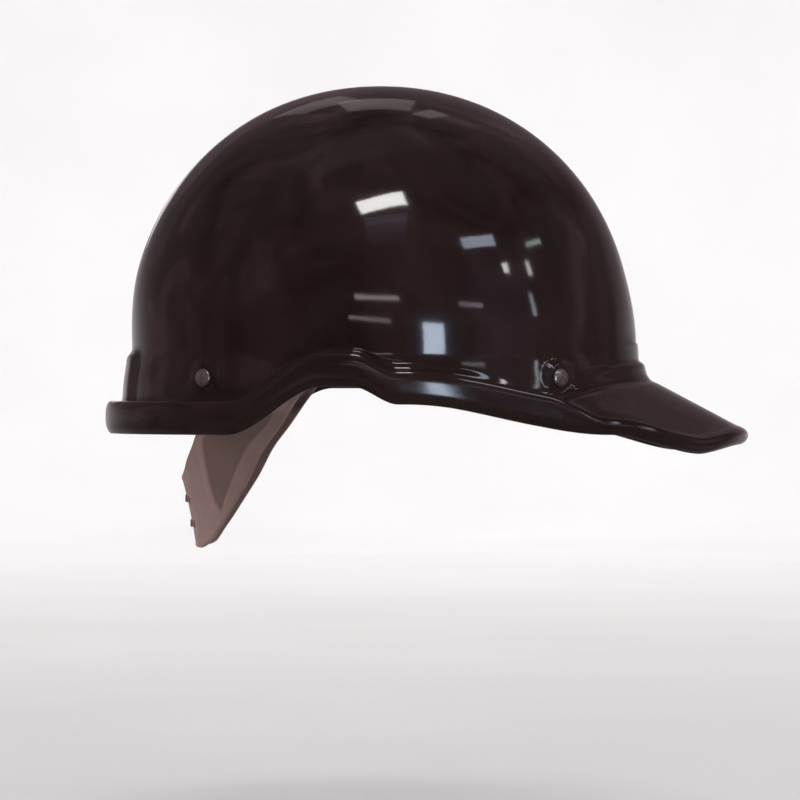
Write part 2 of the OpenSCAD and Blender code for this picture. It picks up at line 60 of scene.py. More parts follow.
def mesh_object(name, verts, faces, mat=None, smooth=True):
    me = bpy.data.meshes.new(name)
    me.from_pydata([tuple(v) for v in verts], [], [tuple(f) for f in faces])
    me.validate()
    obj = link(bpy.data.objects.new(name, me))
    if mat:
        me.materials.append(mat)
    if smooth:
        me.shade_smooth()
    return obj


def recalc(obj):
    bm = bmesh.new()
    bm.from_mesh(obj.data)
    bmesh.ops.recalc_face_normals(bm, faces=bm.faces)
    bm.to_mesh(obj.data)
    bm.free()


def sharpen(obj, degrees=35):
    obj.data.shade_smooth()
    obj.data.set_sharp_from_angle(angle=math.radians(degrees))


def apply_modifiers(obj):
    deps = bpy.context.evaluated_depsgraph_get()
    me = bpy.data.meshes.new_from_object(obj.evaluated_get(deps), preserve_all_data_layers=True, depsgraph=deps)
    obj.modifiers.clear()
    old = obj.data
    obj.data = me
    bpy.data.meshes.remove(old)


def join_meshes(name, parts, mat=None):
    """One mesh object from a list of (verts, faces)."""
    verts, faces = [], []
    for v, f in parts:
        o = len(verts)
        verts.extend(v)
        faces.extend([tuple(i + o for i in q) for q in f])
    return mesh_object(name, verts, faces, mat)


def smoothstep(t):
    t = np.clip(t, 0.0, 1.0)
    return t * t * (3 - 2 * t)


def mix(a, b, t):
    return a + (b - a) * t


# ------------------------------------------------------------------ node materials
class Mat:
    """Small wrapper that builds a procedural material."""

    def __init__(self, name):
        self.m = bpy.data.materials.new(name)
        self.m.use_nodes = True
        self.nt = self.m.node_tree
        self.nt.nodes.clear()
        self.out = self.n("ShaderNodeOutputMaterial")
        self.p = self.n("ShaderNodeBsdfPrincipled")
        self.l(self.p, 0, self.out, 0)
        self.co = self.n("ShaderNodeTexCoord")

    def n(self, kind, **kw):
        node = self.nt.nodes.new(kind)
        for k, v in kw.items():
            setattr(node, k, v)
        return node

    def l(self, a, ao, b, bi):
        self.nt.links.new(a.outputs[ao], b.inputs[bi])

    def set(self, **kw):
        for k, v in kw.items():
            self.p.inputs[k.replace("_", " ")].default_value = v

    def mapping(self, coord="Object", scale=(1, 1, 1), rot=(0, 0, 0)):
        mp = self.n("ShaderNodeMapping")
        mp.inputs["Scale"].default_value = scale
        mp.inputs["Rotation"].default_value = rot
        self.l(self.co, coord, mp, "Vector")
        return mp

    def noise(self, scale, detail=4.0, rough=0.55, distortion=0.0, vec=None):
        t = self.n("ShaderNodeTexNoise")
        t.inputs["Scale"].default_value = scale
        t.inputs["Detail"].default_value = detail
        t.inputs["Roughness"].default_value = rough
        t.inputs["Distortion"].default_value = distortion
        if vec is None:
            self.l(self.co, "Object", t, "Vector")
        else:
            self.l(vec, 0, t, "Vector")
        return t

    def voronoi(self, scale, feature="F1", vec=None, rnd=1.0):
        t = self.n("ShaderNodeTexVoronoi", feature=feature)
        t.inputs["Scale"].default_value = scale
        t.inputs["Randomness"].default_value = rnd
        if vec is None:
            self.l(self.co, "Object", t, "Vector")
        else:
            self.l(vec, 0, t, "Vector")
        return t

    def ramp(self, src, out, stops, interp="LINEAR"):
        r = self.n("ShaderNodeValToRGB")
        r.color_ramp.interpolation = interp
        el = r.color_ramp.elements
        el[0].position, el[0].color = stops[0][0], self.rgba(stops[0][1])
        el[1].position, el[1].color = stops[-1][0], self.rgba(stops[-1][1])
        for pos, col in stops[1:-1]:
            e = el.new(pos)
            e.color = self.rgba(col)
        self.l(src, out, r, "Fac")
        return r

    @staticmethod
    def rgba(c):
        return (c, c, c, 1.0) if isinstance(c, (int, float)) else (*c, 1.0)

    def maths(self, op, a, ao, b=None, bo=None, value=None):
        m = self.n("ShaderNodeMath", operation=op)
        self.l(a, ao, m, 0)
        if b is not None:
            self.l(b, bo, m, 1)
        elif value is not None:
            m.inputs[1].default_value = value
        return m

    def mixc(self, fac, fo, a, b, ao=0, bo=0, blend="MIX"):
        m = self.n("ShaderNodeMix", data_type="RGBA", blend_type=blend)
        if isinstance(fac, (int, float)):
            m.inputs[0].default_value = fac
        else:
            self.l(fac, fo, m, 0)
        for inp, src, so in ((6, a, ao), (7, b, bo)):
            if isinstance(src, tuple):
                m.inputs[inp].default_value = self.rgba(src)
            else:
                self.l(src, so, m, inp)
        return m

    def bump(self, height, ho, strength, distance, prev=None):
        b = self.n("ShaderNodeBump")
        b.inputs["Strength"].default_value = strength
        b.inputs["Distance"].default_value = distance
        self.l(height, ho, b, "Height")
        if prev is not None:
            self.l(prev, 0, b, "Normal")
        return b

    def attr(self, name):
        """A number stored at the points of the mesh; socket 2."""
        return self.n("ShaderNodeAttribute", attribute_name=name)

    def normal(self, b):
        self.l(b, 0, self.p, "Normal")


def mat_shell():
    m = Mat("shell_gloss")
    big = m.noise(9, 5, 0.6, 0.4)
    col = m.ramp(big, 0, [(0.30, (0.0105, 0.0050, 0.0048)), (0.52, (0.0150, 0.0070, 0.0065)), (0.74, (0.0225, 0.0098, 0.0090))])
    # faint dust, in patches
    dust = m.noise(1300, 3, 0.6)
    dpatch = m.noise(14, 4, 0.6, 0.6)
    d1 = m.ramp(dust, 0, [(0.64, 0.0), (0.72, 1.0)])
    d2 = m.ramp(dpatch, 0, [(0.50, 0.0), (0.74, 0.30)])
    dd = m.maths("MULTIPLY", d1, 0, d2, 0)
    colour = m.mixc(dd, 0, col, (0.050, 0.040, 0.037))
    m.l(colour, 2, m.p, "Base Color")
    # handling smears in the gloss, and a few hairline scratches
    smear = m.noise(22, 5, 0.6, 1.0)
    r1 = m.ramp(smear, 0, [(0.36, 0.055), (0.62, 0.080), (0.82, 0.13)])
    sv = m.mapping("Object", (50, 1100, 50), (0.4, 0.9, 0.3))
    scr = m.noise(1.0, 2, 0.5, 0.0, sv)
    smask = m.noise(17, 3, 0.5)
    s0 = m.ramp(smask, 0, [(0.52, 0.0), (0.66, 1.0)])
    s1 = m.ramp(scr, 0, [(0.70, 0.0), (0.73, 0.10)])
    s2 = m.maths("MULTIPLY", s0, 0, s1, 0)
    rr = m.maths("ADD", r1, 0, s2, 0)
    # the lip is rubbed dull by handling
    rub = m.noise(120, 5, 0.65, 0.5)
    rub1 = m.ramp(rub, 0, [(0.30, 0.05), (0.55, 0.10), (0.75, 0.20)])
    worn = m.maths("MULTIPLY", m.attr("lip"), 2, rub1, 0)
    rw = m.maths("ADD", rr, 0, worn, 0)
    m.l(rw, 0, m.p, "Roughness")
    m.set(IOR=1.50)
    # the very slight waviness of a moulded skin
    peel = m.noise(110, 2, 0.5)
    b1 = m.bump(peel, 0, 0.08, 0.00025)
    wave = m.noise(24, 2, 0.5)
    b2 = m.bump(wave, 0, 0.13, 0.0010, b1)
    m.normal(b2)
    return m.m


def mat_plastic(name, base, dark, rough=0.42, sss=0.12, grain=1500, scuff=True, panel=None):
    m = Mat(name)
    big = m.noise(35, 4, 0.6, 0.3)
    col = m.ramp(big, 0, [(0.32, dark), (0.68, base)])
    grime = m.noise(160, 6, 0.7, 0.8)
    g1 = m.ramp(grime, 0, [(0.60, 0.0), (0.78, 0.30)])
    colour = m.mixc(g1, 0, col, tuple(c * 0.45 for c in dark))
    r = m.noise(220, 5, 0.6)
    rr = m.ramp(r, 0, [(0.30, rough - 0.08), (0.70, rough + 0.12)])
    m.set(IOR=1.5, Subsurface_Weight=sss, Subsurface_Scale=0.003)
    m.p.inputs["Subsurface Radius"].default_value = (1.0, 0.75, 0.5)
    fine = m.noise(grain, 3, 0.6)
    b1 = m.bump(fine, 0, 0.22, 0.00006)
    if panel:
        # the thin sunk panel is stippled and matt; its darker tint is painted shade for the recess
        at = m.attr("panel")
        deep = m.noise(60, 4, 0.6, 0.4)
        panel_shade_tint = m.ramp(deep, 0, [(0.30, tuple(c * 0.82 for c in panel)), (0.70, panel)])
        colour = m.mixc(at, 2, colour, panel_shade_tint, 2, 0)
        add = m.maths("MULTIPLY", at, 2, value=0.22)
        rr = m.maths("ADD", rr, 0, add, 0)
        pits = m.voronoi(1150, "F1", None, 0.7)
        ph = m.maths("MULTIPLY", pits, 0, at, 2)
        b1 = m.bump(ph, 0, 0.5, 0.00018, b1)
    m.l(colour, 2, m.p, "Base Color")
    m.l(rr, 0, m.p, "Roughness")
    prev = b1
    if scuff:
        sv = m.mapping("Object", (90, 90, 1400), (0.5, 0.2, 0.9))
        sc = m.noise(1.0, 2, 0.5, 0.0, sv)
        scr = m.ramp(sc, 0, [(0.62, 0.0), (0.68, 1.0)])
        prev = m.bump(scr, 0, 0.10, 0.00004, b1)
    m.normal(prev)
    return m.m


def mat_metal(name, base, rough=0.3, metallic=1.0):
    m = Mat(name)
    n1 = m.noise(260, 5, 0.6)
    col = m.ramp(n1, 0, [(0.3, tuple(c * 0.72 for c in base)), (0.7, base)])
    m.l(col, 0, m.p, "Base Color")
    v = m.mapping("Object", (2200, 180, 2200), (0.2, 0.5, 0.1))
    br = m.noise(1.0, 3, 0.5, 0.0, v)
    rr = m.ramp(br, 0, [(0.3, rough - 0.1), (0.7, rough + 0.15)])
    m.l(rr, 0, m.p, "Roughness")
    m.set(Metallic=metallic)
    b = m.bump(br, 0, 0.15, 0.00003)
    m.normal(b)
    return m.m


def mat_webbing():
    """Narrow woven tape. UV x runs along it in units of 1 mm, UV y across it."""
    m = Mat("webbing")
    uv = m.mapping("UV", (1, 1, 1))
    sep = m.n("ShaderNodeSeparateXYZ")
    m.l(uv, 0, sep, 0)
    # warp ribs along the tape, picks across it, set off in a chevron
    u = m.maths("MULTIPLY", sep, 0, value=2 * math.pi / 1.15)
    v = m.maths("MULTIPLY", sep, 1, value=2 * math.pi / 1.05)
    sv = m.maths("SINE", v, 0)
    half = m.maths("MULTIPLY", v, 0, value=0.5)
    sh = m.maths("SINE", half, 0)
    sg = m.maths("SIGN", sh, 0)
    ph = m.maths("MULTIPLY", sg, 0, value=1.5708)
    up = m.maths("ADD", u, 0, ph, 0)
    su = m.maths("SINE", up, 0)
    a1 = m.maths("ABSOLUTE", sv, 0)
    prod = m.maths("MULTIPLY", a1, 0, value=0.7)
    s2 = m.maths("MULTIPLY", su, 0, value=0.45)
    h = m.maths("ADD", prod, 0, s2, 0)
    fib = m.noise(3200, 3, 0.7)
    f2 = m.maths("MULTIPLY", fib, 0, value=0.5)
    hh = m.maths("ADD", h, 0, f2, 0)
    soil = m.noise(70, 5, 0.65, 0.5)
    base = m.ramp(soil, 0, [(0.32, (0.40, 0.365, 0.30)), (0.70, (0.56, 0.53, 0.46))])
    # the low parts of the weave are painted darker: painted shade in its hollows
    weave_hollow_shade = m.ramp(hh, 0, [(0.0, 0.0), (0.9, 1.0)])
    colour = m.mixc(weave_hollow_shade, 0, (0.22, 0.20, 0.165), base, 0, 0)
    m.l(colour, 2, m.p, "Base Color")
    m.set(Roughness=0.82, Sheen_Weight=0.35, Sheen_Roughness=0.5)
    b = m.bump(hh, 0, 0.8, 0.00022)
    m.normal(b)
    return m.m


def mat_leatherette():
    """Black leatherette with a grid of small perforations (UV in mm)."""
    m = Mat("leatherette")
    grain = m.voronoi(1500, "DISTANCE_TO_EDGE")
    g = m.ramp(grain, 0, [(0.0, 0.0), (0.25, 1.0)])
    wr = m.noise(240, 5, 0.65, 0.6)
    uv = m.mapping("UV", (1 / 3.2, 1 / 3.2, 1))
    dots = m.voronoi(1.0, "F1", uv, 0.0)
    hole = m.ramp(dots, 0, [(0.13, 0.0), (0.19, 1.0)])
    big = m.noise(40, 4, 0.6)
    base = m.ramp(big, 0, [(0.3, (0.016, 0.015, 0.015)), (0.7, (0.034, 0.031, 0.030))])
    # the perforations are painted near-black: painted shade inside the holes
    colour = m.mixc(hole, 0, (0.002, 0.002, 0.002), base)
    m.l(colour, 2, m.p, "Base Color")
    rr = m.ramp(wr, 0, [(0.3, 0.38), (0.7, 0.58)])
    m.l(rr, 0, m.p, "Roughness")
    b1 = m.bump(g, 0, 0.35, 0.00012)
    b2 = m.bump(wr, 0, 0.25, 0.0003, b1)
    b3 = m.bump(hole, 0, 0.9, 0.0005, b2)
    m.normal(b3)
    return m.m


def mat_terry():
    m = Mat("terry")
    loops = m.voronoi(1500)
    l1 = m.ramp(loops, 0, [(0.1, 1.0), (0.7, 0.0)])
    fib = m.noise(2600, 4, 0.7)
    hh = m.maths("ADD", l1, 0, fib, 0)
    big = m.noise(90, 4, 0.6)
    base = m.ramp(big, 0, [(0.3, (0.36, 0.295, 0.225)), (0.7, (0.52, 0.44, 0.345))])
    m.l(base, 0, m.p, "Base Color")
    m.set(Roughness=0.95, Sheen_Weight=0.6, Sheen_Roughness=0.4)
    b = m.bump(hh, 0, 0.9, 0.0004)
    m.normal(b)
    return m.m


def mat_thread(name="thread", base=(0.030, 0.026, 0.026)):
    m = Mat(name)
    v = m.mapping("Object", (2600, 2600, 2600), (0.6, 0.2, 0.7))
    w = m.n("ShaderNodeTexWave")
    w.inputs["Scale"].default_value = 1.0
    w.inputs["Distortion"].default_value = 2.0
    m.l(v, 0, w, "Vector")
    # the grooves of the twist are painted darker, following the same wave as the bump: painted shade
    col = m.ramp(w, 1, [(0.2, tuple(c * 0.55 for c in base)), (0.8, base)])
    m.l(col, 0, m.p, "Base Color")
    m.set(Roughness=0.6, Sheen_Weight=0.3)
    b = m.bump(w, 1, 0.6, 0.0001)
    m.normal(b)
    return m.m


SHELL = mat_shell()
TAN = mat_plastic("tan_polyethylene", (0.27, 0.182, 0.158), (0.22, 0.142, 0.122), 0.38, 0.08)
# the strap's copy of the tan polyethylene is painted a little darker than the headband's, and its panel colour darker
# still: painted shade
TAN_STRAP_SHADED = mat_plastic("tan_strap_polyethylene_shaded", (0.245, 0.158, 0.138), (0.195, 0.122, 0.106), 0.40, 0.06, panel=(0.150, 0.093, 0.077))
NYLON = mat_plastic("natural_nylon", (0.62, 0.575, 0.48), (0.53, 0.48, 0.385), 0.36, 0.18, 1900)
HANGER = mat_plastic("hanger_polyethylene", (0.585, 0.535, 0.455), (0.48, 0.43, 0.36), 0.42, 0.14, 1300)
RIVET = mat_metal("bronzed_rivet", (0.30, 0.25, 0.25), 0.27, 0.85)
STEEL = mat_metal("plated_steel", (0.55, 0.55, 0.56), 0.32)
SNAP = mat_metal("nickel_snap", (0.50, 0.48, 0.45), 0.26)
WEB = mat_webbing()
VINYL = mat_leatherette()
TERRY = mat_terry()
THREAD = mat_thread()
PALE_THREAD = mat_thread("pale_thread", (0.42, 0.39, 0.33))

# ------------------------------------------------------------------ shell
# The shell's section is worked out in mm, as (radius, height) rows round 384 columns.
SH, DA, DB, DZ, DN = 154.0, 112.0, 99.0, 40.0, 2.08
WALL, LIP_OUT, LIP_H, ARCH, TIP, PR = 2.7, 10.0, 14.3, 20.3, 163.0, 92.0
S = smoothstep


def smax(a, b, k):
    h = np.maximum(k - np.abs(a - b), 0) / k
    return np.maximum(a, b) + h * h * k / 4


def plan(th):
    return 1 / np.sqrt((np.cos(th) / DA) ** 2 + (np.sin(th) / DB) ** 2)


def shift(th, z):
    return np.cos(th) * 1.5 * S((75 - z) / 40)


def flare(z):
    return 1.8 * S((36 - z) / 18)


def key_boss(th, z):
    y = np.abs(plan(th) * np.sin(th))
    return np.where(np.cos(th) < 0, 2.3 * S((34 - y) / 10) * S((37 - z) / 4), 1.0 * S((46 - y) / 32) * S((48 - z) / 14))


def outer_r(th, z):
    up = np.clip((z - DZ) / (SH - DZ), 0, 1)
    dome = plan(th) * np.maximum(0, 1 - up ** DN) ** (1 / DN) + shift(th, z)
    wall = plan(th) + shift(th, z) + flare(z) + key_boss(th, z)
    return np.where(z >= DZ, dome, wall)


def inner_r(th, z):
    up = np.clip((z - DZ) / (SH - WALL - DZ), 0, 1)
    dome = (plan(th) - WALL) * np.maximum(0, 1 - up ** DN) ** (1 / DN) + shift(th, z)
    return np.where(z >= DZ, dome, plan(th) - WALL + shift(th, z) + flare(z))


def edge_z(x):
    return (ARCH * S((x + 66) / 42) - 0.37 * ARCH * S((x + 12) / 20) - 0.63 * ARCH * S((x - 12) / 87)
            - 8.5 * S((x - 99) / 43) + 3.6 * S((x - 138) / 24))


def spline_rows(ctrl, steps):
    """Centripetal Catmull-Rom down each column. ctrl: list of (r, z) arrays; covers ctrl[1]..ctrl[-2]."""
    P = np.array([[c[0], c[1]] for c in ctrl])            # rows, 2, columns
    out = []
    for i in range(1, len(P) - 2):
        p0, p1, p2, p3 = P[i - 1], P[i], P[i + 1], P[i + 2]
        t0 = 0.0
        t1 = t0 + np.maximum(np.hypot(*(p1 - p0)), 1e-4) ** 0.5
        t2 = t1 + np.maximum(np.hypot(*(p2 - p1)), 1e-4) ** 0.5
        t3 = t2 + np.maximum(np.hypot(*(p3 - p2)), 1e-4) ** 0.5
        for k in range(steps):
            t = t1 + (t2 - t1) * k / steps
            a1 = (t1 - t) / (t1 - t0) * p0 + (t - t0) / (t1 - t0) * p1
            a2 = (t2 - t) / (t2 - t1) * p1 + (t - t1) / (t2 - t1) * p2
            a3 = (t3 - t) / (t3 - t2) * p2 + (t - t2) / (t3 - t2) * p3
            b1 = (t2 - t) / (t2 - t0) * a1 + (t - t0) / (t2 - t0) * a2
            b2 = (t3 - t) / (t3 - t1) * a2 + (t - t1) / (t3 - t1) * a3
            c = (t2 - t) / (t2 - t1) * b1 + (t - t1) / (t2 - t1) * b2
            out.append((c[0], c[1]))
    out.append((P[-2][0], P[-2][1]))
    return out


def shell_rows(th):
    c = np.cos(th)
    base = plan(th) + shift(th, 20) + flare(10)
    xc = TIP - PR
    circle = xc * c + np.sqrt(np.maximum(PR * PR - xc * xc * np.sin(th) ** 2, 0))
    e = smax(base + LIP_OUT, circle, 20)
    xe = e * c
    zb = edge_z(xe)
    hl = LIP_H - (LIP_H - 7.1) * S((xe - 70) / 30)
    zt = zb + hl
    xw, yw = base * c, base * np.sin(th)
    q = S((xw - 52) / 48)
    zj = mix(edge_z(np.minimum(xe, 92)) + 10.9, 22.4 - 0.0007 * yw * yw, q)
    rw = base + key_boss(th, zj + 5)
    d = e - rw
    g = np.clip((d - 10) / 36, 0, 1)
    f = 1 + 0.9 * g
    zf = zj + 4.2 * f
    zl = zt + mix(-2.6, 1.4, g)
    d0, d1 = 3.2 * f, d - 5
    zin = zj + 4.6 * f
    rows = []
    for k in range(1, 41):
        t = math.radians(90 - 90 * k / 40)
        z = np.full_like(th, DZ + (SH - DZ) * math.sin(t) ** (2 / DN))
        rows.append((outer_r(th, z), z))
    for u in np.linspace(0.06, 0.72, 12):
        z = mix(DZ, zf, u)
        rows.append((outer_r(th, z), z))
    ctrl = [(outer_r(th, mix(DZ, zf, u)), mix(DZ, zf, u)) for u in (0.7, 0.8)]
    ctrl += [(rw + 0.35 * f, zf), (rw + 1.1 * f, zj + 1.8 * f), (rw + 2.1 * f, zj + 0.5 * f)]
    ctrl += [(rw + mix(d0, d1, s), mix(zj, zl, s)) for s in (0, 0.33, 0.67, 1)]
    ctrl += [(rw + d - 3.8, zt + mix(-0.7, 1.0, g)), (rw + d - 2.6, zt + mix(0, 0.4, g)),
             (rw + d - 1.3, zt - mix(0.6, 0.4, g)), (rw + d - 0.35, zt - mix(2.8, 1.6, g)),
             (rw + d, zt - hl * 0.46), (rw + d - mix(0.3, 0.8, g), zb + hl * 0.25),
             (rw + d - mix(1.2, 2.1, g), zb + hl * 0.09), (rw + d - mix(2.3, 3.7, g), zb),
             (rw + d - mix(3.3, 4.7, g), zb + 0.3), (rw + d - mix(3.8, 5.3, g), zb + 1.4),
             (rw + d - mix(4.2, 5.7, g), zl - 4.2), (rw + d - mix(5.2, 6.4, g), zl - WALL)]
    ctrl += [(rw + mix(d0, d1, s), mix(zj, zl, s) - WALL) for s in (0.6, 0.25)]
    ctrl += [(rw - 0.5, zj - WALL + 0.4), (rw - 2.0, zj - 1.0), (rw - WALL + 0.1, zj + 1.8)]
    ctrl += [(inner_r(th, mix(zin, DZ, u)), mix(zin, DZ, u)) for u in (0, 0.3)]
    rows += spline_rows(ctrl + [(inner_r(th, mix(zin, DZ, 0.6)), mix(zin, DZ, 0.6))], 5)
    for u in np.linspace(0.4, 0.94, 8):
        z = mix(zin, DZ, u)
        rows.append((inner_r(th, z), z))
    for k in range(0, 30):
        t = math.radians(90 * k / 30)
        z = np.full_like(th, DZ + (SH - WALL - DZ) * math.sin(t) ** (2 / DN))
        rows.append((inner_r(th, z), z))
    return rows


# the four anchors: place, outward normal
def face_dir(th):
    return math.atan2(math.sin(th) / DB ** 2, math.cos(th) / DA ** 2)


ANCHOR_AZ = [math.radians(a) for a in (45, -45, 135, -135)]
RIVET_Z = 24.0


def anchor_matrix(i, z=0.0):
    """Row-frame matrix of an anchor's own axes: +X out through the wall (mm)."""
    th = ANCHOR_AZ[i]
    r = float(outer_r(np.array([th]), np.array([RIVET_Z]))[0])
    return Matrix.Translation((r * math.cos(th), r * math.sin(th), z)) @ Matrix.Rotation(face_dir(th), 4, "Z")


def store(ob, name, values):
    ob.data.attributes.new(name, "FLOAT", "POINT").data.foreach_set("value", np.asarray(values, np.float32))


def build_shell():
    n = 512
    th = np.linspace(0, 2 * math.pi, n, endpoint=False)
    rows = shell_rows(th)
    R = np.array([r for r, _ in rows])
    Z = np.array([z for _, z in rows])
    # flat seat pressed out round each rivet
    X, Y = R * np.cos(th), R * np.sin(th)
    for i in range(4):
        m = anchor_matrix(i, RIVET_Z).inverted()
        lx = m[0][0] * X + m[0][1] * Y + m[0][3]
        ly = m[1][0] * X + m[1][1] * Y + m[1][3]
        lz = Z - RIVET_Z
        dist = np.hypot(ly, lz)
        near = (lx > -2.0) & (lx < 4) & (dist < 11)
        w = S((8.6 - dist) / 3.2) * near
        push = (0.6 - lx) * w
        fd = face_dir(ANCHOR_AZ[i])
        X = X + push * math.cos(fd)
        Y = Y + push * math.sin(fd)
    k = len(rows)
    verts = np.stack([X, Y, Z], -1).reshape(-1, 3)
    verts = np.vstack([verts, [[0, 0, SH], [0, 0, SH - WALL]]]) * MM
    faces = []
    for i in range(k - 1):
        for j in range(n):
            a, b = i * n + j, i * n + (j + 1) % n
            faces.append((a, a + n, b + n, b))
    top = k * n
    for j in range(n):
        faces.append((top, j, (j + 1) % n))
        faces.append((top + 1, (k - 1) * n + (j + 1) % n, (k - 1) * n + j))
    shell = mesh_object("helmet_shell", verts, faces, SHELL)
    recalc(shell)
    # the inner face is duller than the polished outside
    shell.data.materials.append(SHELL_IN)
    first_in = 52 + 5 * 19
    idx = np.zeros(len(faces), np.int32)
    idx[first_in * n:(k - 1) * n] = 1
    idx[(k - 1) * n + 1::2] = 1
    shell.data.polygons.foreach_set("material_index", idx)
    lip = np.zeros(len(verts))
    lip[:k * n] = np.repeat(S((np.arange(k) - 103.0) / 8) * (np.arange(k) < first_in), n)
    store(shell, "lip", lip)
    return shell


def mat_shell_inside():
    m = Mat("shell_inside")
    big = m.noise(30, 5, 0.6, 0.4)
    col = m.ramp(big, 0, [(0.30, (0.016, 0.009, 0.009)), (0.75, (0.030, 0.015, 0.014))])
    dust = m.noise(150, 3, 0.5)
    d1 = m.ramp(dust, 0, [(0.45, 0.0), (0.80, 0.30)])
    colour = m.mixc(d1, 0, col, (0.070, 0.058, 0.052))
    m.l(colour, 2, m.p, "Base Color")
    r = m.noise(60, 5, 0.6)
    rr = m.ramp(r, 0, [(0.3, 0.24), (0.7, 0.46)])
    m.l(rr, 0, m.p, "Roughness")
    m.set(IOR=1.5)
    fine = m.noise(900, 3, 0.6)
    b1 = m.bump(fine, 0, 0.2, 0.0001)
    m.normal(b1)
    return m.m


SHELL_IN = mat_shell_inside()
shell = build_shell()
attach(shell, "shell_body")
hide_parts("shell")

# ------------------------------------------------------------------ helpers for the smaller pieces (all in mm)
def sweep(name, rings, mat, closed=False):
    """Closed loops joined one to the next; rings is (rows, points, 3)."""
    n, m = rings.shape[:2]
    faces = []
    for i in range(n if closed else n - 1):
        a, b = i * m, ((i + 1) % n) * m
        for j in range(m):
            k = (j + 1) % m
            faces.append((a + j, b + j, b + k, a + k))
    if not closed:
        faces.append(tuple(range(m - 1, -1, -1)))
        faces.append(tuple(range((n - 1) * m, n * m)))
    ob = mesh_object(name, rings.reshape(-1, 3) * MM, faces, mat)
    recalc(ob)
    return ob


def set_uv(ob, uv):
    layer = ob.data.uv_layers.new(name="UVMap")
    idx = np.empty(len(ob.data.loops), np.int32)
    ob.data.loops.foreach_get("vertex_index", idx)
    layer.data.foreach_set("uv", np.asarray(uv, np.float32)[idx].ravel())


def lathe(profile, matrix, n=48):
    """Profile of (radius, x) turned round local X; radius 0 at both ends. Returns (verts, faces) in mm."""
    verts, rows = [], []
    for r, x in profile:
        if r < 1e-6:
            rows.append([len(verts)])
            verts.append(matrix @ Vector((x, 0, 0)))
        else:
            rows.append(list(range(len(verts), len(verts) + n)))
            for j in range(n):
                a = 2 * math.pi * j / n
                verts.append(matrix @ Vector((x, r * math.cos(a), r * math.sin(a))))
    faces = []
    for p, q in zip(rows, rows[1:]):
        for j in range(n):
            k = (j + 1) % n
            if len(p) == 1 and len(q) > 1:
                faces.append((p[0], q[j], q[k]))
            elif len(q) == 1 and len(p) > 1:
                faces.append((p[j], q[0], p[k]))
            elif len(p) > 1:
                faces.append((p[j], q[j], q[k], p[k]))
    return [tuple(v) for v in verts], faces


def ring_lathe(profile, matrix, n=48):
    """Closed profile of (radius, x) that doesn't touch the axis."""
    m = len(profile)
    verts = []
    for j in range(n):
        a = 2 * math.pi * j / n
        for r, x in profile:
            verts.append(tuple(matrix @ Vector((x, r * math.cos(a), r * math.sin(a)))))
    faces = []
    for j in range(n):
        for i in range(m):
            faces.append((j * m + i, ((j + 1) % n) * m + i, ((j + 1) % n) * m + (i + 1) % m, j * m + (i + 1) % m))
    return verts, faces


def joined(name, parts, mat):
    ob = join_meshes(name, [([tuple(c * MM for c in v) for v in vs], fs) for vs, fs in parts], mat)
    recalc(ob)
    return ob


def boolean(ob, op, parts):
    tool = joined("tool", parts, None)
    md = ob.modifiers.new("b", "BOOLEAN")
    md.operation = op
    md.solver = "EXACT"
    md.object = tool
    apply_modifiers(ob)
    me = tool.data
    bpy.data.objects.remove(tool)
    bpy.data.meshes.remove(me)


def place(ob, body, nodes):
    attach(ob, body)
    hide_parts(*nodes)
    return ob


def rod(r, p0, p1, n=40, edge=0.0):
    """Cylinder from p0 to p1, its ends rounded over by edge."""
    p0, p1 = Vector(p0), Vector(p1)
    d = p1 - p0
    m = Matrix.Translation(p0) @ d.to_track_quat("X", "Z").to_matrix().to_4x4()
    L = d.length
    if edge:
        prof = [(0, 0)] + [(r - edge + edge * math.sin(t), edge - edge * math.cos(t)) for t in np.linspace(0, math.pi / 2, 4)]
        prof += [(r - edge + edge * math.cos(t), L - edge + edge * math.sin(t)) for t in np.linspace(0, math.pi / 2, 4)] + [(0, L)]
    else:
        prof = [(0, 0), (r, 0), (r, L), (0, L)]
    return lathe(prof, m, n)


def stitch(p, d, nrm, length=2.3, width=0.62, height=0.42):
    """One stitch of thread: a bead that dips into the cloth at both ends."""
    p, d, nrm = Vector(p), Vector(d).normalized(), Vector(nrm).normalized()
    s = d.cross(nrm)
    verts, faces = [], []
    K, J = 6, 8
    for k in range(1, K):
        t = math.pi * k / K
        for j in range(J):
            a = 2 * math.pi * j / J
            q = p + d * (length / 2 * math.cos(t)) + s * (width / 2 * math.sin(t) ** 0.7 * math.cos(a)) \
                + nrm * (height * math.sin(t) ** 0.8 * (0.35 + math.sin(a)) * 0.74)
            verts.append(tuple(q))
    a0 = len(verts)
    verts += [tuple(p + d * length / 2 - nrm * 0.12), tuple(p - d * length / 2 - nrm * 0.12)]
    for k in range(K - 2):
        for j in range(J):
            faces.append((k * J + j, (k + 1) * J + j, (k + 1) * J + (j + 1) % J, k * J + (j + 1) % J))
    for j in range(J):
        faces.append((a0, j, (j + 1) % J))
        faces.append((a0 + 1, (K - 2) * J + (j + 1) % J, (K - 2) * J + j))
    return verts, faces


def soften(node, mat, body, width=0.45):
    """The moulded part with the small radii that its tool gives it."""
    src = NODES[node]
    me = src.data.copy()
    me.transform(src.matrix_world)
    ob = link(bpy.data.objects.new(node + "_moulding", me))
    bm = bmesh.new()
    bm.from_mesh(me)
    bmesh.ops.remove_doubles(bm, verts=bm.verts, dist=1e-6)
    bmesh.ops.dissolve_limit(bm, angle_limit=math.radians(1.2), verts=bm.verts, edges=bm.edges)
    bm.to_mesh(me)
    bm.free()
    me.materials.clear()
    me.materials.append(mat)
    md = ob.modifiers.new("bevel", "BEVEL")
    md.width = width * MM
    md.segments = 3
    md.limit_method = "ANGLE"
    md.angle_limit = math.radians(40)
    md.use_clamp_overlap = True
    md.miter_outer = "MITER_ARC"
    apply_modifiers(ob)
    ob.data.shade_smooth()
    md = ob.modifiers.new("wn", "WEIGHTED_NORMAL")
    md.keep_sharp = True
    apply_modifiers(ob)
    return place(ob, body, [node])


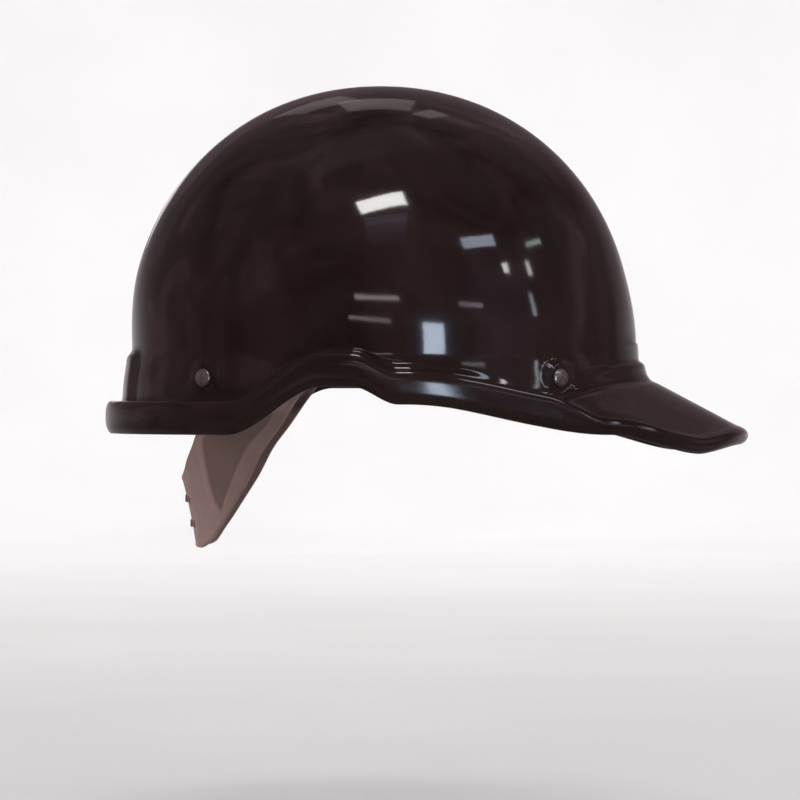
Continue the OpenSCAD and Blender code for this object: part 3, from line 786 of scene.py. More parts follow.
# ------------------------------------------------------------------ rivets and washers
SEAT = 0.6
dome = [(4 * math.cos(t), SEAT + 0.34 + 1.36 * math.sin(t)) for t in np.linspace(0, math.pi / 2, 12)]
rivet_prof = [(0, -8.8), (1.0, -8.8), (1.2, -9.25), (1.5, -9.55), (2.1, -9.66), (2.8, -9.55), (3.3, -9.25), (3.5, -8.85),
              (3.46, -8.5), (3.3, -8.39), (2.0, -8.38), (2.0, SEAT + 0.03), (3.8, SEAT + 0.03), (3.96, SEAT + 0.14)]
rivet_prof += dome[:-1] + [(0, SEAT + 1.7)]
rivets = joined("cradle_rivets", [lathe(rivet_prof, anchor_matrix(i, RIVET_Z)) for i in range(4)], RIVET)
rivets.data.materials.append(STEEL)
for poly in rivets.data.polygons:
    c = poly.center
    wall_r = float(outer_r(np.array([math.atan2(c.y, c.x)]), np.array([RIVET_Z]))[0])
    poly.material_index = 0 if math.hypot(c.x, c.y) / MM > wall_r - 3 else 1
sharpen(rivets, 50)
place(rivets, "shell_body", ["shell_rivets"])
wash = [(2.15, -8.3), (2.25, -8.35), (4.8, -8.35), (4.95, -8.27), (5.0, -8.0), (4.97, -7.65), (4.8, -7.55), (2.25, -7.55), (2.12, -7.62)]
washers = joined("rivet_washer_set", [ring_lathe(wash, anchor_matrix(i, RIVET_Z)) for i in range(4)], STEEL)
sharpen(washers, 50)
place(washers, "shell_body", ["rivet_washers"])

# ------------------------------------------------------------------ anchors and hangers
PLACES = ["front_left", "front_right", "rear_left", "rear_right"]
for nm in PLACES:
    soften("anchor_" + nm, NYLON, "shell_body")
    soften("hanger_" + nm, HANGER, "shell_body", 0.4)

# ------------------------------------------------------------------ crown straps
WEB_W, WEB_T, CROWN_Z = 19.0, 1.4, 117.0
X_IN, X_OUT, Z_WEB = -13.4 - 0.2 - 0.7, -11.4 + 0.2 + 0.7, 61.0


def local_pt(i, x, z):
    p = anchor_matrix(i) @ Vector((x, 0, 0))
    return np.array([p.x, p.y, z])


def rise(i, zc, k, off):
    b = face_dir(ANCHOR_AZ[i])
    st = local_pt(i, X_IN, 0)
    r0, az = math.hypot(st[0], st[1]), math.atan2(st[1], st[0])
    t = math.radians(90 * k / 16)
    r, z = r0 * max(math.cos(t), 0) ** 0.9, Z_WEB + (zc - Z_WEB) * math.sin(t)
    if k == 0:
        nn = (1.0, 0.0)
    else:
        v = ((zc - Z_WEB) * math.cos(t), 0.9 * r0 * max(math.cos(t), 0.05) ** -0.1 * math.sin(t))
        L = math.hypot(*v)
        nn = (v[0] / L, v[1] / L)
    bb = mix(b, az, float(S(k / 5)))
    c, s = math.cos(bb), math.sin(bb)
    return (np.array([r * math.cos(az) + off * nn[0] * c, r * math.sin(az) + off * nn[0] * s, z + off * nn[1]]),
            np.array([-s, c, 0]), np.array([nn[0] * c, nn[0] * s, nn[1]]))


def half_strap(i, zc):
    b = face_dir(ANCHOR_AZ[i])
    across, rad = np.array([-math.sin(b), math.cos(b), 0]), np.array([math.cos(b), math.sin(b), 0])
    up = np.array([0, 0, 1.0])
    xm, rr = (X_IN + X_OUT) / 2, (X_OUT - X_IN) / 2
    out = []
    for k in (3, 2.5, 2):
        f = rise(i, zc, k, WEB_T + 0.12)
        out.append((f[0], -f[1], -f[2]))
    for x, z, a in ((-12.9, 67.6, 40), (-10.9, 64.6, 25), (X_OUT, 62, 0), (X_OUT, 59.6, 0)):
        a = math.radians(a)
        out.append((local_pt(i, x, z), -across, -rad * math.cos(a) - up * math.sin(a)))
    for t in range(-25, -156, -26):
        t = math.radians(t)
        out.append((local_pt(i, xm + rr * math.cos(t), 58.7 + rr * math.sin(t)), -across, -rad * math.cos(t) - up * math.sin(t)))
    out.append((local_pt(i, X_IN, 59.4), -across, rad))
    for k in range(16):
        f = rise(i, zc, k, 0)
        out.append((f[0], -f[1], f[2]))
    return out


def strap_frames(i, j, zc):
    a, b = half_strap(i, zc), half_strap(j, zc)
    az = ANCHOR_AZ[i]
    return a + [(np.array([0, 0, zc]), np.array([math.sin(az), -math.cos(az), 0]), np.array([0, 0, 1.0]))] \
        + [(f[0], -f[1], f[2]) for f in reversed(b)]


def band_section(w, t, r, side=12, arc=3):
    pts = []
    for sx, sy, a0 in ((1, -1, -90), (1, 1, 0), (-1, 1, 90), (-1, -1, 180)):
        for q in range(arc + 1):
            a = math.radians(a0 + 90 * q / arc)
            pts.append((sx * (w / 2 - r) + r * math.cos(a), sy * (t / 2 - r) + r * math.sin(a)))
        if (sx, sy) == (1, 1):
            pts += [((w / 2 - r) * (1 - 2 * q / side), t / 2) for q in range(1, side)]
        if (sx, sy) == (-1, -1):
            pts += [(-(w / 2 - r) * (1 - 2 * q / side), -t / 2) for q in range(1, side)]
    return pts


def crown_strap(name, i, j, zc):
    fr = strap_frames(i, j, zc)
    P = np.array([f[0] for f in fr])
    A = np.array([f[1] for f in fr])
    N = np.array([f[2] for f in fr])
    pos, ac, nn = [], [], []
    for q in range(len(fr) - 1):
        p0, p1, p2, p3 = P[max(q - 1, 0)], P[q], P[q + 1], P[min(q + 2, len(fr) - 1)]
        for t in (0, 0.34, 0.67):
            pos.append(0.5 * (2 * p1 + (p2 - p0) * t + (2 * p0 - 5 * p1 + 4 * p2 - p3) * t * t + (3 * p1 - p0 - 3 * p2 + p3) * t ** 3))
            ac.append(mix(A[q], A[q + 1], t))
            nn.append(mix(N[q], N[q + 1], t))
    pos.append(P[-1]); ac.append(A[-1]); nn.append(N[-1])
    pos, ac, nn = np.array(pos), np.array(ac), np.array(nn)
    ac /= np.linalg.norm(ac, axis=1, keepdims=True)
    nn /= np.linalg.norm(nn, axis=1, keepdims=True)
    along = np.concatenate([[0], np.cumsum(np.linalg.norm(np.diff(pos, axis=0), axis=1))])
    sec = band_section(WEB_W, WEB_T, 0.62)
    rings, uv = [], []
    for q in range(len(pos)):
        end = min(along[q], along[-1] - along[q])
        # the cut end is sealed and slightly narrower
        k = 1 - 0.035 * (1 - min(end / 1.5, 1))
        wob = 0.10 * math.sin(along[q] * 0.21 + zc) + 0.06 * math.sin(along[q] * 0.57)
        rings.append([pos[q] + ac[q] * (a * k + wob * (abs(a) / (WEB_W / 2)) * 0.5) + nn[q] * o for a, o in sec])
        uv += [(along[q], a) for a, _ in sec]
    ob = sweep(name, np.array(rings), WEB)
    set_uv(ob, uv)
    sharpen(ob, 60)
    return ob


lower = place(crown_strap("crown_strap_a", 0, 3, CROWN_Z), "shell_body", ["crown_strap_lower"])
upper = place(crown_strap("crown_strap_b", 1, 2, CROWN_Z + WEB_T + 0.45), "shell_body", ["crown_strap_upper"])

# box stitching at the crown, and at each sewn end
threads = []
top = CROWN_Z + 1.5 * WEB_T + 0.45 + 0.02
bot = CROWN_Z - 0.5 * WEB_T - 0.02
rot = math.radians(45)
for zz, nz in ((top, 1), (bot, -1)):
    for q in range(4):
        a = rot + q * math.pi / 2
        d, s = Vector((-math.sin(a), math.cos(a), 0)), Vector((math.cos(a), math.sin(a), 0))
        for y in np.arange(-6.2, 6.3, 2.48):
            threads.append(stitch(s * 6.8 + d * y + Vector((0, 0, zz)), d, (0, 0, nz)))
    for q in range(2):
        a = q * math.pi / 2
        d = Vector((math.cos(a), math.sin(a), 0))
        for y in np.arange(-7.4, 7.5, 2.5):
            if abs(y) > 0.8 or q == 0:
                threads.append(stitch(d * y + Vector((0, 0, zz)), d, (0, 0, nz)))
crown_thread = joined("crown_thread", threads, THREAD)
place(crown_thread, "shell_body", ["crown_stitching"])
ends = []
for i in range(4):
    zc = CROWN_Z if i in (0, 3) else CROWN_Z + WEB_T + 0.45
    for side, off in ((-1, -WEB_T / 2 - 0.02), (1, 1.5 * WEB_T + 0.14)):
        for k in (2.15, 2.8):
            f = rise(i, zc, k, off)
            for y in np.arange(-7.2, 7.3, 2.4):
                ends.append(stitch(f[0] + f[1] * y, f[1], f[2] * side, 2.0, 0.55, 0.36))
        for y in (-7.9, 7.9):
            for k in np.linspace(2.22, 2.74, 3):
                f = rise(i, zc, k, off)
                g = rise(i, zc, k + 0.05, off)
                ends.append(stitch(f[0] + f[1] * y, g[0] - f[0], f[2] * side, 2.0, 0.55, 0.36))
end_thread = joined("strap_end_thread", ends, PALE_THREAD)
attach(end_thread, "shell_body")

# ------------------------------------------------------------------ headband
BA, BB, BT, BLO, BCX = 100.0, 80.0, 2.0, 24.0, 1.0
PIV_X, PIV_Z, BOSS_Y, EYE_X, EYE_Z, EYE_R, BUTTON_Z = 33.0, 33.0, 78.6, 24.0, 40.0, 3.0, 37.0


def band_top(x):
    return 52 + 9 * S((x - 25) / 60) - 5 * S((-x - 45) / 40)


def band_gap(i):
    b = face_dir(ANCHOR_AZ[i])
    p = anchor_matrix(i) @ Vector((0, 0, 0))
    nx, ny, px, py = math.cos(b), math.sin(b), p.x - BCX, p.y
    qa = (nx / BA) ** 2 + (ny / BB) ** 2
    qb = -2 * (px * nx / BA ** 2 + py * ny / BB ** 2)
    qc = (px / BA) ** 2 + (py / BB) ** 2 - 1
    return (-qb - math.sqrt(qb * qb - 4 * qa * qc)) / (2 * qa)


def oval_frame(t):
    """Point and outward normal on the headband's outer oval; t is the oval's own angle."""
    p = np.array([BCX + BA * math.cos(t), BB * math.sin(t), 0])
    n = np.array([math.cos(t) / BA, math.sin(t) / BB, 0])
    return p, n / np.linalg.norm(n)


def build_headband():
    rings = []
    n = 300
    for q in range(n):
        t = 2 * math.pi * q / n
        p, nn = oval_frame(t)
        zt = float(band_top(p[0]))
        h = zt - BLO
        # section: beads along both edges, two shallow channels between them
        prof = []
        zs = [0.0, 0.15, 0.5, 1.0, 1.6, 2.2, 2.8, 3.4] + list(np.linspace(4.2, h - 4.2, 15)) + [h - 3.4, h - 2.8, h - 2.2, h - 1.6, h - 1.0, h - 0.5, h - 0.15, h]
        for z in zs:
            e = min(z, h - z)
            rd = math.sqrt(max(0.0, 1 - (1 - min(e / 0.9, 1)) ** 2))
            bead = 1 - float(S((e - 1.8) / 1.0))
            mid = float(S((e - 5) / 0.8)) * (1 - float(S((e - 7.2) / 0.8)))
            prof.append((z, rd, bead, mid))
        ring = [p + nn * (-(BT / 2) + (BT / 2) * rd * (0.80 + 0.20 * bead - 0.16 * mid)) + np.array([0, 0, BLO + z]) for z, rd, bead, mid in prof]
        ring += [p + nn * (-(BT / 2) - (BT / 2) * rd * (0.90 + 0.10 * bead)) + np.array([0, 0, BLO + z]) for z, rd, bead, mid in reversed(prof[1:-1])]
        rings.append(ring)
    ob = sweep("headband_moulding", np.array(rings), TAN, closed=True)
    adds = []
    for s in (-1, 1):
        for cx, cz, r, top in ((-PIV_X, PIV_Z, 7.5, BOSS_Y), (EYE_X, EYE_Z, EYE_R + 3.5, 79.6)):
            m = 48
            verts, faces, rows = [], [], []
            levels = [("in", 0.0), ("in", 1.0), (0.5, 1.0), (0.15, 0.96), (0.0, 0.90), (0.0, 0.0)]
            for lev, f in levels:
                if f == 0.0:
                    x, z = cx, cz
                    y = 0.5 + (BB - BT) * math.sqrt(1 - ((x - BCX) / (BA - BT)) ** 2) if lev == "in" else top
                    rows.append([len(verts)])
                    verts.append((x, s * y, z))
                else:
                    rows.append(list(range(len(verts), len(verts) + m)))
                    for j in range(m):
                        a = 2 * math.pi * j / m
                        x, z = cx + r * f * math.cos(a), cz + r * f * math.sin(a)
                        y = 0.5 + (BB - BT) * math.sqrt(1 - ((x - BCX) / (BA - BT)) ** 2) if lev == "in" else top - lev
                        verts.append((x, s * y, z))
            for p, q in zip(rows, rows[1:]):
                for j in range(m):
                    k = (j + 1) % m
                    if len(p) == 1:
                        faces.append((p[0], q[j], q[k]))
                    elif len(q) == 1:
                        faces.append((p[j], q[0], p[k]))
                    else:
                        faces.append((p[j], q[j], q[k], p[k]))
            adds.append((verts, faces))
    boolean(ob, "UNION", adds)
    cuts = []
    for s in (-1, 1):
        cuts.append(rod(3.03, (-PIV_X, s * 60, PIV_Z), (-PIV_X, s * 90, PIV_Z)))
        cuts.append(rod(EYE_R, (EYE_X, s * 60, EYE_Z), (EYE_X, s * 90, EYE_Z)))
    for i in range(4):
        m = anchor_matrix(i, BUTTON_Z)
        g = band_gap(i)
        cuts.append(rod(2.53, m @ Vector((-g - 8, 0, 0)), m @ Vector((-g + 4, 0, 0))))
    for a in SNAPS:
        m = snap_matrix(a)
        cuts.append(rod(1.65, m @ Vector((-6, 0, 0)), m @ Vector((6, 0, 0)), 32))
    boolean(ob, "DIFFERENCE", cuts)
    sharpen(ob, 38)
    return ob


SNAPS = [math.radians(-28), math.radians(28)]


def snap_matrix(a):
    r = 1 / math.sqrt((math.cos(a) / BA) ** 2 + (math.sin(a) / BB) ** 2)
    return Matrix.Translation((BCX + r * math.cos(a), r * math.sin(a), 44)) \
        @ Matrix.Rotation(math.atan2(math.sin(a) / BB ** 2, math.cos(a) / BA ** 2), 4, "Z")


headband = place(build_headband(), "headband_body", ["headband"])

parts = []
for i in range(4):
    g = band_gap(i)
    prof = [(0, -g - 0.6), (2.3, -g - 0.6), (2.48, -g - 0.45), (2.5, -g), (2.5, -11.1), (3.6, -11.1), (3.78, -10.95),
            (3.8, -10.5), (3.6, -10.1), (3.1, -9.86), (2.6, -9.8), (1.5, -9.84), (1.1, -10.2), (0, -10.2)]
    parts.append(lathe(prof, anchor_matrix(i, BUTTON_Z), 40))
buttons = joined("height_button_set", parts, NYLON)
sharpen(buttons, 45)
place(buttons, "headband_body", ["height_buttons"])
prof = [(0, -2.2), (1.45, -2.2), (1.6, -2.05), (1.6, 0.26), (3.85, 0.26), (4.0, 0.4), (3.95, 0.8), (3.6, 1.2), (3.0, 1.45),
        (2.3, 1.5), (1.9, 1.4), (1.4, 1.1), (0, 1.05)]
snaps = joined("sweatband_snap_set", [lathe(prof, snap_matrix(a), 40) for a in SNAPS], SNAP)
sharpen(snaps, 45)
place(snaps, "headband_body", ["sweatband_snaps"])
for s, side in ((1, "left"), (-1, "right")):
    m = Matrix.Translation((-PIV_X, 0, PIV_Z)) @ Matrix.Rotation(s * math.pi / 2, 4, "Z")
    t = BOSS_Y
    prof = [(0, 71.5), (2.7, 71.5), (2.95, 71.75), (3.0, 72.2), (3.0, t + 2.8), (6.2, t + 2.8), (6.45, t + 2.95), (6.5, t + 3.3),
            (6.3, t + 3.8), (5.7, t + 4.15), (5.0, t + 4.3), (3.4, t + 4.25), (2.9, t + 3.95), (2.6, t + 3.7), (0, t + 3.65)]
    pv = joined("nape_pivot_stud_" + side, [lathe(prof, m, 48)], NYLON)
    sharpen(pv, 45)
    place(pv, "headband_body", ["nape_pivot_" + side])


# ------------------------------------------------------------------ nape strap
def ns_a(z):
    u = np.maximum(0, 24 - z)
    return 102.6 - 0.43 * u + 0.0019 * u * u


def ns_b(z):
    u = np.maximum(0, 22 - z)
    return 84.9 - 0.36 * u + 0.002 * u * u


def ns_n(ph, z):
    a, b, u, v = ns_a(z), ns_b(z), np.maximum(0, 24 - z), np.maximum(0, 22 - z)
    da, db = np.where(u > 0, 0.43 - 0.0038 * u, 0), np.where(v > 0, 0.36 - 0.004 * v, 0)
    n = np.stack([-np.cos(ph) / a, np.sin(ph) / b, -np.cos(ph) ** 2 * da / a - np.sin(ph) ** 2 * db / b], -1)
    return n / np.linalg.norm(n, axis=-1, keepdims=True)


def ns_base(ph, z):
    return np.stack([BCX - ns_a(z) * np.cos(ph), ns_b(z) * np.sin(ph), z], -1)


def ns_off(ph, z, lay):
    x = BCX - ns_a(z) * np.cos(ph)
    return lay * 1.1 * (1 - S((np.abs(np.degrees(ph)) - 17) / 12)) \
        + np.maximum(0, 80.3 - ns_b(z) * np.sin(ph)) * S((x + 56) / 15) * S((z - 9) / 12)


def curve(c, m, closed=False):
    """Smooth curve through the rows of c."""
    c = np.asarray(c, float)
    n = len(c)
    out = []
    for i in range(n if closed else n - 1):
        if closed:
            p0, p1, p2, p3 = c[i - 1], c[i], c[(i + 1) % n], c[(i + 2) % n]
        else:
            p0, p1, p2, p3 = c[max(0, i - 1)], c[i], c[i + 1], c[min(n - 1, i + 2)]
        for k in range(m):
            t = k / m
            out.append(0.5 * (2 * p1 + (p2 - p0) * t + (2 * p0 - 5 * p1 + 4 * p2 - p3) * t * t + (3 * p1 - p0 - 3 * p2 + p3) * t ** 3))
    if not closed:
        out.append(c[-1])
    return np.array(out)


EDGES = [[-18, -25, -18, -44], [-16.6, -21.2, -16.6, -47.8], [-13, -19.2, -13, -49.8], [-6, -19, -6, -50.1], [1, -19, 1, -50.2],
         [10, -17.3, 9.5, -50.2], [16, -14.5, 16, -49.9], [20.5, -10.5, 21.5, -48.2], [26, -5, 28, -43.8], [30.5, 0.2, 36.6, -35.7],
         [35.5, 5.2, 47.8, -21.5], [42, 10.4, 55.8, -7.4], [49.5, 14.8, 62.2, 2.5], [57, 20.2, 68.4, 13.9], [62.5, 27, 72.5, 22], [66, 35, 74.5, 28]]
PANEL = [[-69.2, -32.4], [-71.6, -28.6], [-73.4, -22.4], [-75.2, -14], [-76.4, -6], [-76, -1.4], [-72.6, 3.2], [-66, 7.8],
         [-58.4, 12.8], [-52.8, 15.8], [-49.4, 16], [-46.8, 14], [-45, 9.4], [-49.2, 2.6], [-55.4, -4.2], [-59.3, -11.4],
         [-62.8, -19.6], [-66, -27.6], [-67.2, -31.6], [-68, -32.9]]


def inside_by(pts, poly):
    """Signed distance of 2-D points to a closed outline, positive inside."""
    a, b = poly, np.roll(poly, -1, 0)
    best = np.full(len(pts), 1e9)
    odd = np.zeros(len(pts), bool)
    for p, q in zip(a, b):
        d = q - p
        t = np.clip(((pts - p) @ d) / (d @ d), 0, 1)
        best = np.minimum(best, np.linalg.norm(pts - (p + t[:, None] * d), axis=1))
        cross = ((p[1] > pts[:, 1]) != (q[1] > pts[:, 1]))
        with np.errstate(divide="ignore", invalid="ignore"):
            xi = p[0] + (pts[:, 1] - p[1]) * (q[0] - p[0]) / (q[1] - p[1])
        odd ^= cross & (pts[:, 0] < xi)
    return np.where(odd, best, -best)


def nape_half(name, lay, side):
    rows = curve(EDGES, 10)
    n = len(rows)
    outline = curve(PANEL, 5, closed=True)
    rr = 0.75
    rings, marks = [], []
    mid = ns_base(np.radians((rows[:, 0] + rows[:, 2]) / 2), (rows[:, 1] + rows[:, 3]) / 2)
    run = np.concatenate([[0], np.cumsum(np.linalg.norm(np.diff(mid, axis=0), axis=1))])
    for q in range(n):
        r = rows[q]
        p0 = ns_base(np.radians(r[0]), np.array(r[1]))
        p1 = ns_base(np.radians(r[2]), np.array(r[3]))
        w = float(np.linalg.norm(p1 - p0))
        edge = [rr * (1 - math.cos(math.radians(90 * k / 4))) for k in range(5)]
        s = np.array(edge + list(np.linspace(rr, w - rr, 58))[1:-1] + [w - e for e in reversed(edge)])
        v = s / w
        ph, z = np.radians(mix(r[0], r[2], v)), mix(r[1], r[3], v)
        off = ns_off(ph, z, lay)
        nn = ns_n(ph, z)
        base = ns_base(ph, z) + nn * off[:, None]
        sd = inside_by(np.stack([base[:, 0], base[:, 2]], -1), outline)
        e = np.minimum(s, w - s)
        rd = np.sqrt(np.maximum(0, 1 - (1 - np.minimum(e / rr, 1)) ** 2))
        rd *= max(0.3, math.sqrt(max(0, 1 - (1 - min(min(run[q], run[-1] - run[q]) / 0.7, 1)) ** 2)))
        bead = np.maximum(1 - S((e - 1.5) / 0.8), 1 - S((-sd - 1.5) / 0.8))
        h = 0.84 + 0.16 * bead
        h = mix(h, 0.45, S((sd + 0.2) / 1.3)) * rd
        outer = base + nn * h[:, None]
        inner = base - nn * h[:, None]
        rings.append(np.vstack([outer, inner[1:-1][::-1]]))
        pm = S((sd + 0.1) / 0.9)
        marks.append(np.concatenate([pm, pm[1:-1][::-1]]))
    ob = sweep(name, np.array(rings), TAN_STRAP_SHADED)
    store(ob, "panel", np.concatenate(marks))
    adds = [rod(8.5, (-PIV_X, BOSS_Y + 0.3, PIV_Z), (-PIV_X, BOSS_Y + 2.5, PIV_Z), 56, 0.3)]
    if lay < 0:
        for z in (-29, -40):
            x = 1 - float(ns_a(np.array(z)))
            adds.append(rod(1.8, (x - 2.9, 0, z), (x + 1.6, 0, z), 32, 0.45))
    boolean(ob, "UNION", adds)
    cuts = [rod(7.2, (-PIV_X, BOSS_Y + 2.5, PIV_Z), (-PIV_X, 95, PIV_Z), 56),
            rod(8.5, (-PIV_X, 60, PIV_Z), (-PIV_X, BOSS_Y + 0.3, PIV_Z), 56)]
    boolean(ob, "DIFFERENCE", cuts)
    cuts = [rod(3.06, (-PIV_X, 58, PIV_Z), (-PIV_X, 96, PIV_Z), 48)]
    if lay > 0:
        for y in (-14, -7, 0, 7, 14):
            for z in (-29, -40):
                cuts.append(rod(1.9, (-100, y, z), (-70, y, z), 32))
    boolean(ob, "DIFFERENCE", cuts)
    if side < 0:
        ob.data.transform(Matrix.Scale(-1, 4, (0, 1, 0)))
        ob.data.flip_normals()
    sharpen(ob, 38)
    return ob


strap_l = place(nape_half("nape_strap_arm_left", -1, 1), "nape_body", ["nape_strap_left"])
strap_r = place(nape_half("nape_strap_arm_right", 1, -1), "nape_body", ["nape_strap_right"])


# ------------------------------------------------------------------ padded pieces
def puff(ob, voxel, cap, clamp):
    """Swell a slim pad a little, as the foam under its cover does."""
    md = ob.modifiers.new("rm", "REMESH")
    md.mode = "VOXEL"
    md.voxel_size = voxel * MM
    apply_modifiers(ob)
    me = ob.data
    rest = np.empty(len(me.vertices) * 3, np.float32)
    me.vertices.foreach_get("co", rest)
    rest = rest.reshape(-1, 3)
    cl = ob.modifiers.new("cloth", "CLOTH")
    st = cl.settings
    st.quality = 5
    st.mass = 0.15
    st.use_pressure = True
    st.uniform_pressure_force = 4.0
    st.effector_weights.gravity = 0
    cl.collision_settings.use_collision = False
    sc = bpy.context.scene
    for fr in range(1, 21):
        sc.frame_set(fr)
    deps = bpy.context.evaluated_depsgraph_get()
    ev = ob.evaluated_get(deps)
    now = np.empty(len(ev.data.vertices) * 3, np.float32)
    ev.data.vertices.foreach_get("co", now)
    now = now.reshape(-1, 3)
    ob.modifiers.clear()
    sc.frame_set(1)
    d = now - rest
    L = np.linalg.norm(d, axis=1, keepdims=True)
    d = d * np.minimum(1, cap * MM / np.maximum(L, 1e-9))
    rest = rest + d
    rest = clamp(rest / MM) * MM
    me.vertices.foreach_set("co", rest.astype(np.float32).ravel())
    me.update()
    sub = ob.modifiers.new("sub", "SUBSURF")
    sub.levels = sub.render_levels = 1
    apply_modifiers(ob)
    ob.data.shade_smooth()
    return ob


def oval_coords(p):
    """(oval angle, distance in from the headband's outer face) of points in mm."""
    x, y = (p[:, 0] - BCX) / BA, p[:, 1] / BB
    t = np.arctan2(y, x)
    q = np.stack([BCX + BA * np.cos(t), BB * np.sin(t)], -1)
    n = np.stack([np.cos(t) / BA, np.sin(t) / BB], -1)
    n /= np.linalg.norm(n, axis=1, keepdims=True)
    return t, -((p[:, :2] - q) * n).sum(1), n


T_END = math.radians(61.0)


def sweat_ring(t, depth, lift=0.0):
    p, nn = oval_frame(t)
    zt = float(band_top(p[0])) - 2.9
    return p, nn, BLO + 1.9, zt


def build_sweatband():
    rings = []
    for t in np.linspace(-T_END, T_END, 90):
        p, nn, z0, z1 = sweat_ring(t, 0)
        e = max(0.25, math.sin(math.acos(max(0, 1 - (T_END - abs(t)) / math.radians(3.2)))) if T_END - abs(t) < math.radians(3.2) else 1)
        h = (z1 - z0) / 2 * (0.80 + 0.20 * e)
        zc = (z0 + z1) / 2
        c = 2.45 + 2.1 * 0
        ring = []
        for q in range(28):
            a = 2 * math.pi * q / 28
            cz, so = math.cos(a), math.sin(a)
            # flat against the band, rounded towards the brow
            dep = 4.55 + (1.55 * e) * math.copysign(abs(so) ** 0.55, so)
            ring.append(p - nn * dep + np.array([0, 0, zc + h * math.copysign(abs(cz) ** 0.42, cz)]))
        rings.append(ring)
    ob = sweep("sweatband_pad", np.array(rings), VINYL)

    def clamp(p):
        t, dep, n = oval_coords(p)
        push = np.maximum(0, 2.42 - dep)
        p = p.copy()
        p[:, :2] -= n * push[:, None]
        return p

    puff(ob, 1.7, 0.7, clamp)
    co = np.empty(len(ob.data.vertices) * 3, np.float32)
    ob.data.vertices.foreach_get("co", co)
    co = co.reshape(-1, 3) / MM
    t, dep, n = oval_coords(co)
    # two sewn lines press the cover in along the upper and lower edge
    zt = band_top(BCX + BA * np.cos(t)) - 2.9
    for line in (BLO + 1.9 + 3.4, zt - 3.4):
        w = np.exp(-((co[:, 2] - line) / 0.9) ** 2) * (np.abs(t) < T_END - 0.05) * S((dep - 4.2) / 0.8)
        co[:, :2] += n * (0.75 * w)[:, None]
    ob.data.vertices.foreach_set("co", (co * MM).astype(np.float32).ravel())
    ob.data.update()
    set_uv(ob, np.stack([t * 88, co[:, 2] - 40], -1))
    return ob


sweat = place(build_sweatband(), "headband_body", ["sweatband"])
seams = []
for t in np.arange(-T_END + 0.06, T_END - 0.05, 3.1 / 88):
    p, nn, z0, z1 = sweat_ring(t, 0)
    q, _, _, _ = sweat_ring(t + 0.01, 0)
    d = (q - p)
    for z in (z0 + 3.4, z1 - 3.4):
        seams.append(stitch(p - nn * 5.75 + np.array([0, 0, z]), d, -nn, 2.4, 0.5, 0.32))
seam = joined("sweatband_seam", seams, PALE_THREAD)
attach(seam, "headband_body")


def build_nape_pad():
    rings = []
    lim = 19.4
    for deg in np.linspace(-lim, lim, 46):
        ph = math.radians(deg)
        c = ns_base(np.array(ph), np.array(-34.0))
        nn = ns_n(np.array(ph), np.array(-34.0))
        t = np.array([math.sin(ph), math.cos(ph), 0])
        up = np.cross(nn, t)
        up /= np.linalg.norm(up)
        u = 1 - (lim - abs(deg)) / 4.0
        e = math.sqrt(max(0, 1 - u * u)) if u > 0 else 1
        e = max(e, 0.2)
        ring = []
        for q in range(24):
            a = 2 * math.pi * q / 24
            cz, so = math.cos(a), math.sin(a)
            ring.append(c + nn * (-4.6 + 1.25 * e * math.copysign(abs(so) ** 0.6, so))
                        + up * (10.4 * (0.72 + 0.28 * e) * math.copysign(abs(cz) ** 0.45, cz)))
        rings.append(ring)
    ob = sweep("nape_pad_cushion", np.array(rings), TERRY)

    def clamp(p):
        ph = np.arctan2(p[:, 1] / ns_b(p[:, 2]), -(p[:, 0] - BCX) / ns_a(p[:, 2]))
        n = ns_n(ph, p[:, 2])
        off = ((p - ns_base(ph, p[:, 2])) * n).sum(1)
        return p - n * np.maximum(0, off + 2.75)[:, None]

    return puff(ob, 1.3, 0.45, clamp)


pad = place(build_nape_pad(), "nape_body", ["nape_pad"])
seams = []
for deg in np.arange(-16.5, 16.6, 1.9):
    ph = math.radians(deg)
    c = ns_base(np.array(ph), np.array(-34.0))
    nn = ns_n(np.array(ph), np.array(-34.0))
    t = np.array([math.sin(ph), math.cos(ph), 0])
    up = np.cross(nn, t)
    up /= np.linalg.norm(up)
    for s in (-1, 1):
        seams.append(stitch(c + up * s * 8.3 - nn * 5.75, t, -nn, 2.2, 0.5, 0.34))
seam = joined("nape_pad_seam", seams, PALE_THREAD)
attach(seam, "nape_body")

# ------------------------------------------------------------------ stage and light
def build_stage():
    m = Mat("pale_stage")
    n1 = m.noise(3, 3, 0.5)
    col = m.ramp(n1, 0, [(0.2, (0.80, 0.80, 0.80)), (0.8, (0.86, 0.86, 0.86))])
    m.l(col, 0, m.p, "Base Color")
    m.set(Roughness=0.9)
    # a round room: flat floor that curves up into the wall
    floor_z, wall_r, rad, n = -0.19, 4.4, 1.1, 96
    prof = [(0.6, floor_z), (1.4, floor_z), (2.4, floor_z)]
    for k in range(17):
        a = math.radians(90 * k / 16)
        prof.append((wall_r - rad + rad * math.sin(a), floor_z + rad - rad * math.cos(a)))
    prof.append((wall_r, 4.2))
    verts = [(0, 0, floor_z)]
    faces = []
    for r, z in prof:
        verts += [(r * math.cos(2 * math.pi * q / n), r * math.sin(2 * math.pi * q / n), z) for q in range(n)]
    for q in range(n):
        faces.append((0, 1 + q, 1 + (q + 1) % n))
        for i in range(len(prof) - 1):
            a, b = 1 + i * n, 1 + (i + 1) * n
            faces.append((a + q, b + q, b + (q + 1) % n, a + (q + 1) % n))
    st = mesh_object("stage_floor", verts, faces, m.m)
    return st


